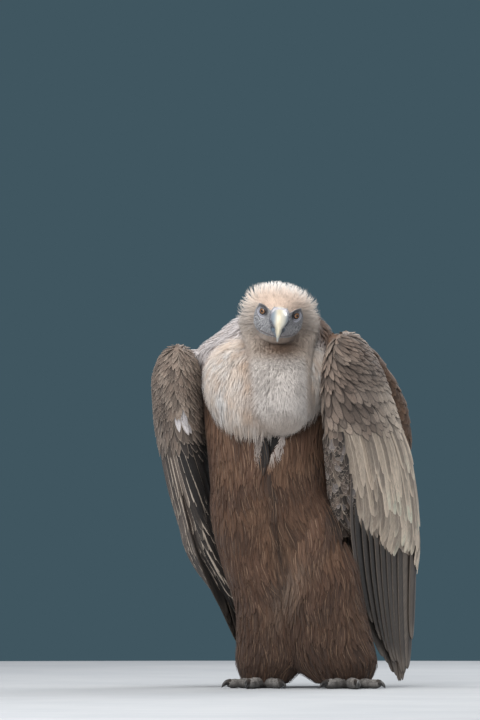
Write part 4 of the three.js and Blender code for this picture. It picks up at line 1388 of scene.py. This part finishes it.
def ruff_down():
    return layers(
        ruff, (outside(8, neck), outside(10, trunk, left_fold, right_fold)),
        ((5.0, 2.6, 30, 0.5, 0.85, 0.05, 0), (7, 4.4, 38, 5.5, 0.6, 0.05, 0),
         (8, 6, 46, 9.0, 0.9, 0.38, 0.5)),
        -14, colour=ruff_colour, wander=waves(ruff, 0.06, 0.2, 42), loose=0.16, spread=(0.22, 0.2),
        shares=LOCK, profile=LOCK_SHAPE, rise=0.45, root=0.92, tip=1.04,
    )


def plumage(mass, hidden, colour, step, gap, length, width, flow, start=0.03, end=0.99, where=None, **more):
    """Vane feathers over a mass, short at its first ring, except where the hidden masses cover it."""
    tests = [outside(8, *hidden)] + ([where] if where else [])
    u, v = kept(mass, rows(mass, start, end, step, gap), *tests)
    grown = 0.5 + 0.5 * smooth(v, 0.0, 0.14)
    length, width = several(length, 0.12, u) * grown, several(width, 0.1, u) * grown
    return lay(mass, u, v, colour, length, width, (ROOT_DEPTH, TIP_LIFT), flow, **more)


for name, make in (("head", head_down), ("neck", neck_down), ("ruff", ruff_down)):
    under, *over = make()
    put(strips(f"{name}_down", [under], DOWN, DOWN_SOFTNESS), "down")
    put(strips(f"{name}_wisps", over, DOWN, DOWN_SOFTNESS), "down")


def off_notch(p):
    """Which points are clear of the dark hollow over the crop."""
    return notch(p) < 0.3


def hairs(mass, hidden, meets):
    """Loose hair-like barbs over the body, pale, brown or dark by chance."""
    roots = kept(mass, rows(mass, 0.05, 0.99, 14, 8), outside(4, *hidden), off_notch)
    pick = rng.random(len(roots[0]))
    tones = mix(mix(BROWN, BROWN_DEEP, pick < 0.5), linear(172, 142, 116), 0.75 * (pick > 0.86))
    return tufts(
        mass, roots, lambda p: 0.45 * body_colour(p) + 0.55 * tones, 58, 0.55, (-4, 2.2),
        waves(mass, 0.09, 0.2, 43), 0.12, (0.3, 0.3), climb=0.6, shade=0.05, root=1, tip=1, meets=meets,
        reach=trunk_reach,
    )


BODY_TOP = 0.665  # above this the shoulders have down instead of feathers
for name, mass, hidden, meets in (
    ("trunk", trunk, (left_fold, right_fold, left_scapulars, right_scapulars, ruff, neck),
     (left_thigh, right_thigh, neck)),
    ("left_thigh", left_thigh, (trunk, right_thigh, left_fold), (trunk, right_thigh)),
    ("right_thigh", right_thigh, (trunk, left_thigh, right_fold), (trunk, left_thigh)),
):
    chunk = plumage(
        mass, hidden, body_colour, 14, 8, 66, 6.2, waves(mass, 0.09, 0.2, 43), profile=LANCE, meets=meets,
        reach=trunk_reach, where=lambda p: off_notch(p) & (p[..., 2] < BODY_TOP),
    )
    put(strips(f"{name}_feathers", [chunk], BODY), "body_feathers")
    put(strips(f"{name}_hairs", [hairs(mass, hidden, meets)], BARBS_LOOSE), "body_feathers")
for name, mass in (("left", left_scapulars), ("right", right_scapulars)):
    sway = waves(mass, 0.09, 0.12, 44)
    small, long = (
        plumage(mass, (ruff, neck), mantle_colour, *sizes, sway, *span, root=0.4, tip=1.15, **fall)
        for sizes, span, fall in (
            ((17, 12, 54, 8.5), (0.03, 0.66), {}), ((20, 14, 96, 11), (0.6, 0.97), {"hang": 0.6, "cup": 0.3}),
        )
    )
    put(strips(f"{name}_scapulars", [small, long], MANTLE), "body_feathers")


def loose_down(mass, hidden, colour, where, step, gap, length, width, lift, meets=()):
    """Patches of down on a mass, over its feathers."""
    roots = kept(mass, rows(mass, 0.02, 0.99, step, gap), outside(6, *hidden), where)
    return tufts(mass, roots, colour, length, width, (-7, lift), waves(mass, 0.04, 0.3, 45), 0.2, shade=0.06,
                 root=0.9, meets=meets, reach=trunk_reach)


def strip_colour(p):
    pale = mix(linear(150, 138, 130), linear(190, 178, 170), (p[..., 0] > -0.045) * 1.0)
    return mix(pale, BROWN_PALE, smooth(0.440 - p[..., 2], 0, 0.03))


def crop_strips(p):
    """The bare-looking pale strips on each side of the hollow over the crop."""
    x, y, z = from_stance(p)
    left = (np.abs(x - np.interp(z, [0.424, 0.477], [-0.058, -0.050])) < 0.006) & (z > 0.435)
    half = np.interp(z, [0.42, 0.46], [0.005, 0.010])
    right = np.abs(x - np.interp(z, [0.405, 0.470], [-0.036, -0.010])) < half
    near = (y < -0.06) & (z > 0.418) & (z < 0.49)
    return near & (left | right) & (notch(p) < 0.4)


mantle = [
    loose_down(trunk, (ruff, neck, left_fold, right_fold, left_scapulars), mantle_colour,
               lambda p: p[..., 2] > 0.63, 6, 3.6, 24, 1.0, 4, (neck,)),
    loose_down(right_scapulars, (ruff, neck, right_fold, trunk), mantle_colour,
               lambda p: (p[..., 2] > 0.585 + 0.25 * np.abs(p[..., 0] + 0.12)) & (p[..., 1] < -0.02),
               6, 3.6, 26, 1.0, 6),
    loose_down(trunk, (), strip_colour, crop_strips, 3.0, 1.6, 12, 0.8, 0.6),
]
put(strips("mantle_down", mantle, DOWN, DOWN_SOFTNESS), "down")


def tract(mass, colour, span, step, gap, length, width, lean, sweep=0.0, **more):
    """One tract of a closed wing: its feathers lean towards the rear edge on both faces, and sweep to the
    left over the front edge."""
    return plumage(mass, (trunk,), colour, step, gap, length, width,
                   lambda u, v: lean * np.cos(u) + sweep * np.maximum(-np.sin(u), 0), *span, **more)


def edge_colour(p):
    """The fluffy front edge of the left wing: brown, dark and bluish white in patches."""
    patch = blotches(p, 0.022, 51)
    colour = mix(COVERT * 0.75, COVERT_DARK * 0.6, smooth(patch, -0.3, 0.5))
    return mix(colour, linear(146, 142, 142), 0.5 * smooth(-patch, 0.4, 0.9))


def front_edge(p):
    x, y, z = from_stance(p)
    """Which points are on the left wing's front edge, from the elbow down to its middle."""
    edge = np.interp(z, [0.24, 0.40, 0.50], [0.148, 0.126, 0.106])
    return (x < edge) & (y < -0.02) & (z > 0.235) & (z < 0.49)


LONG_LEAF = np.array([0, 0.2, 0.4, 0.6, 0.76, 0.88, 0.95, 0.985, 1])
PADDLE = (0.5, 0.8, 0.95, 1, 0.98, 0.85, 0.62, 0.36, 0.08)
HANG = (0, 0, 0.08)  # from a long covert's root to where it shows
LONG_COVERT = {"shares": LONG_LEAF, "profile": PADDLE, "climb": 0.5}
for name, mass, left in (("left", left_fold, True), ("right", right_fold, False)):
    colour, long_colour = partial(wing_colour, left=left), partial(greater_colour, left=left)
    if left:
        small = tract(mass, colour, (0.02, 0.40), 11, 10.5, 32, 5.6, 0.85, 0.35, profile=LANCE, root=0.22,
                      tip=1.25, shade=0.15, rise=0.8)
        middle_row = tract(mass, colour, (0.38, 0.52), 18, 15, 56, 9.0, 0.5, 0.2, root=0.3, tip=1.2,
                           shade=0.14)
        great = tract(mass, long_colour, (0.45, 0.76), 40, 15, 175, 10, 0.14, 0.1, root=0.4, shade=0.12,
                      cup=0.2, rise=1.4, where=lambda p: ~front_edge(p), **LONG_COVERT)
    else:
        small = tract(mass, colour, (0.015, 0.42), 8.5, 8.5, 26, 4.6, 0.4, profile=LANCE, root=0.5, tip=1.15,
                      shade=0.12)
        middle_row = tract(mass, colour, (0.38, 0.52), 15, 12, 46, 6.5, 0.3, 0.15, profile=LANCE, root=0.45,
                           tip=1.12, shade=0.12)
        great, shaded = (
            tract(mass, long_colour, (0.42, 0.92), 44, 12, 190, 7.5, 0.06, 0.16, root=0.8, tip=0.9, shade=0.2,
                  cup=0.4, where=where, **LONG_COVERT)
            for where in (lambda p: inner_shade(p - HANG) < 0.5, lambda p: inner_shade(p - HANG) >= 0.5)
        )
        put(strips("right_shaded_coverts", [shaded], SHADED), "wing_coverts")
    put(strips(f"{name}_coverts", [small, middle_row], SCALED if left else WING), "wing_coverts")
    put(strips(f"{name}_great_coverts", [great], GREAT if left else SWEPT), "wing_coverts")


u, v = kept(left_fold, rows(left_fold, 0.2, 0.99, 9, 7.5), outside(6, trunk), front_edge)
fluff = lay(left_fold, u, v, edge_colour, several(25, 0.2, u), several(4.2, 0.2, u), (-5, 4.5),
            waves(left_fold, 0.04, 0.4, 52, 0.2), root=0.35, tip=1.25, shade=0.2)
put(strips("left_edge_feathers", [fluff], WING), "wing_coverts")

# Flight feathers: places between the wing's front edge, -1, and its rear edge, 1, with the tips' heights.
LEFT_SECONDARIES = [(-0.8, 160), (-0.55, 102), (-0.28, 64), (0.02, 50), (0.34, 34), (0.66, 16), (0.88, 92)]
LEFT_PRIMARIES = [(-0.88, 112), (-0.52, 60), (-0.18, 30), (0.2, 10), (0.55, 5)]
RIGHT_SECONDARIES = [(-0.8, 132), (-0.55, 112), (-0.26, 92), (0.04, 74), (0.34, 62), (0.66, 84), (0.92, 140)]
RIGHT_PRIMARIES = [(-0.5, 58), (-0.2, 32), (0.1, 14), (0.4, 5)]
BLADE = ((-1, 0), (-0.85, 0.45), (-0.5, 0.7), (-0.12, 0.8), (0, 1.5), (0.12, 0.8), (0.5, 0.7), (0.85, 0.45),
         (1, 0), (0.5, -0.3), (0, -0.6), (-0.5, -0.3))
LONG = np.array([0, 0.1, 0.2, 0.3, 0.4, 0.5, 0.58, 0.66, 0.74, 0.81, 0.87, 0.915, 0.95, 0.975, 0.99, 1])
SWORD = (0.5, 0.7, 0.85, 0.94, 0.98, 1, 1, 1, 0.98, 0.94, 0.87, 0.77, 0.64, 0.49, 0.31, 0.06)


QUILL_FLOOR = 0.002  # the lowest that the long feathers' tips come to the ground
QUILL_TWIST = 0.24  # how far each is turned under its neighbour, in radians


def blades(path, normal, half, twist):
    """Long feathers along their paths, which are in millimetres from the stance."""
    at, place = strip(path * MM + STANCE, normal, half, 0.9 * MM, LONG, SWORD, BLADE, 0.12, twist)
    at[..., 2] = np.maximum(at[..., 2], QUILL_FLOOR)
    return at, place


def quills(stations, turn, shape, count, width, root, layer, twist):
    """The long feathers of a closed wing, hanging from a root height to their tips, each lapping the next."""
    table = np.array(stations, float)
    places = np.linspace(shape[0][0], shape[-1][0], count)
    tips = (np.interp(places, *np.array(shape).T) + rng.normal(0, 3, count)).clip(4, None)
    z = root + (tips - root)[:, None] * LONG
    share = np.interp(-z, -table[:, 0], np.linspace(0, 1, len(table)))
    ring = along(table, share)
    side, back = ways(turn)
    outward = np.sign(table[0, 1])
    path = np.stack([ring[..., 1], ring[..., 2], z], axis=-1)
    path += back * (places[:, None] * (ring[..., 4] - width / 3))[..., None]
    thinning = 1 - 0.6 * smooth(root - z, 120, 330)
    path += side * outward * (layer * ring[..., 3] * thinning + layer)[..., None]
    path += back * (rng.normal(0, 1.4, (count, 1)) * np.sin(LONG * 3.0) ** 2)[..., None]
    normal = np.broadcast_to(side * outward, path.shape)
    half = several(width / 2, 0.05, places) * MM
    at, place = blades(path, normal, half, several(twist, 0.2, places))
    tone = mix(SLATE, QUILL_WARM, rng.random(count))
    tint = paint(tone, place, 0.06, 1.2, 0.6)
    front = place[..., 1] * outward  # the vane towards the wing's front edge is the paler one
    pale = (0.12 + 0.6 * smooth(places, -0.3, 0.7))[:, None, None]
    tint[..., :3] = mix(tint[..., :3], SLATE_PALE, pale * smooth(front, 0.05, 0.3))
    root_place = np.stack([(places + 1) / 2, np.full(count, 0.5 + 0.2 * np.sign(layer))], axis=-1)
    return at, place, tint, root_place, normal


for name, stations, turn, secondaries, primaries in (
    ("left", LEFT_WING, LEFT_WING_TURN, LEFT_SECONDARIES, LEFT_PRIMARIES),
    ("right", RIGHT_WING, RIGHT_WING_TURN, RIGHT_SECONDARIES, RIGHT_PRIMARIES),
):
    twist = QUILL_TWIST if name == "left" else -QUILL_TWIST
    upper = quills(stations, turn, secondaries, count=11, width=52, root=410, layer=0.4, twist=twist)
    lower = quills(stations, turn, primaries, count=9, width=44, root=330, layer=-0.35, twist=twist)
    put(strips(f"{name}_secondaries", [upper], FLIGHT, 0), "flight_feathers", f"wing_{name}_secondaries")
    put(strips(f"{name}_primaries", [lower], FLIGHT, 0), "flight_feathers", f"wing_{name}_primaries")


def tail_feathers(root, tip, count, width):
    """A half-closed fan of long feathers from its root down to its tip."""
    root, tip = np.array(root, float), np.array(tip, float)
    side, _ = ways(BODY_TURN)
    run = unit(tip - root)
    out = np.linspace(-1, 1, count)[:, None]
    start, end = root + side * out * 20, tip + side * out * 56 - run * 26 * out**2
    path = start[:, None] + (end - start)[:, None] * LONG[None, :, None]
    normal = unit(np.cross(side, run))
    normal = np.broadcast_to(normal * np.sign(normal[1]), path.shape)
    path = path + normal * (3 * (1 - np.abs(out)))[:, None]
    at, place = blades(path, normal, 0.5 * width * MM, 0.30 * np.sign(out[:, 0]))
    spots = np.stack([(out[:, 0] + 1) / 2, np.full(count, 0.5)], axis=-1)
    tint = paint(mix(SLATE, SLATE * 1.6, rng.random(count)), place, 0.1, 0.9, 1.5)
    return at, place, tint, spots, normal


tail = tail_feathers(root=(24, 66, 252), tip=(86, 196, 5), count=12, width=36)
put(strips("tail_feathers", [tail], FLIGHT, 0), "flight_feathers", "tail")


# ---- stage ----

FLOOR_RADIUS = 3.0
angle = around(96)
rim = np.stack([FLOOR_RADIUS * np.cos(angle), FLOOR_RADIUS * np.sin(angle), np.zeros(96)], axis=-1)
floor = form("floor", rim, [np.arange(96)[None]],
             plain_material("floor", linear(176, 180, 184), linear(186, 189, 192), 3, 0.9))

# The camera sees a plain dull blue behind the bird, and the bird is lit by a pale dome.
BACKDROP, DOME, DOME_STRENGTH = (*linear(64, 86, 96), 1), (0.80, 0.84, 0.90, 1), 0.42
world = bpy.data.worlds.new("studio")
world.use_nodes = True
sums = Maths(world.node_tree)
seen, dome_light = world.node_tree.nodes["Background"], sums.node("ShaderNodeBackground")
seen.inputs["Color"].default_value = BACKDROP
dome_light.inputs["Color"].default_value = DOME
dome_light.inputs["Strength"].default_value = DOME_STRENGTH
ray = sums.node("ShaderNodeLightPath").outputs["Is Camera Ray"]
either = sums.node("ShaderNodeMixShader", ray, dome_light.outputs[0], seen.outputs[0])
world.node_tree.links.new(either.outputs[0], world.node_tree.nodes["World Output"].inputs["Surface"])
bpy.context.scene.world = world


def aimed(name, data, at, towards):
    """A lamp or camera at one place that looks towards another."""
    made = stand(name, data)
    made.location = at
    look = mathutils.Vector(towards) - mathutils.Vector(at)
    made.rotation_euler = look.to_track_quat("-Z", "Y").to_euler()
    return made


def lamp(name, at, towards, size, power, colour=(1, 1, 1)):
    """A round soft lamp: its size in metres and its power in watts."""
    light = bpy.data.lights.new(name, "AREA")
    light.shape, light.size, light.energy, light.color = "DISK", size, power, colour
    aimed(name, light, at, towards)


middle = ((cad_box[0][0] + cad_box[1][0]) / 2, 0, 0.45)
lamp("sky", (-0.5, -1.3, 3.2), middle, 2.4, 86, (1, 0.98, 0.95))
lamp("front", (-1.4, -4.2, 1.9), middle, 2.4, 104, (0.99, 0.98, 0.98))
lamp("back", (1.4, 2.2, 2.4), middle, 2.0, 60)

CAMERA_AT, CAMERA_AIM, FOCAL_LENGTH = (-0.088, -26, 0.5), (-0.088, 0, 0.623), 684.2
lens = bpy.data.cameras.new("camera")
lens.sensor_width, lens.lens = 36, FOCAL_LENGTH
lens.clip_end = 100
bpy.context.scene.camera = aimed("camera", lens, CAMERA_AT, CAMERA_AIM)
bpy.context.scene.view_settings.view_transform = "Standard"
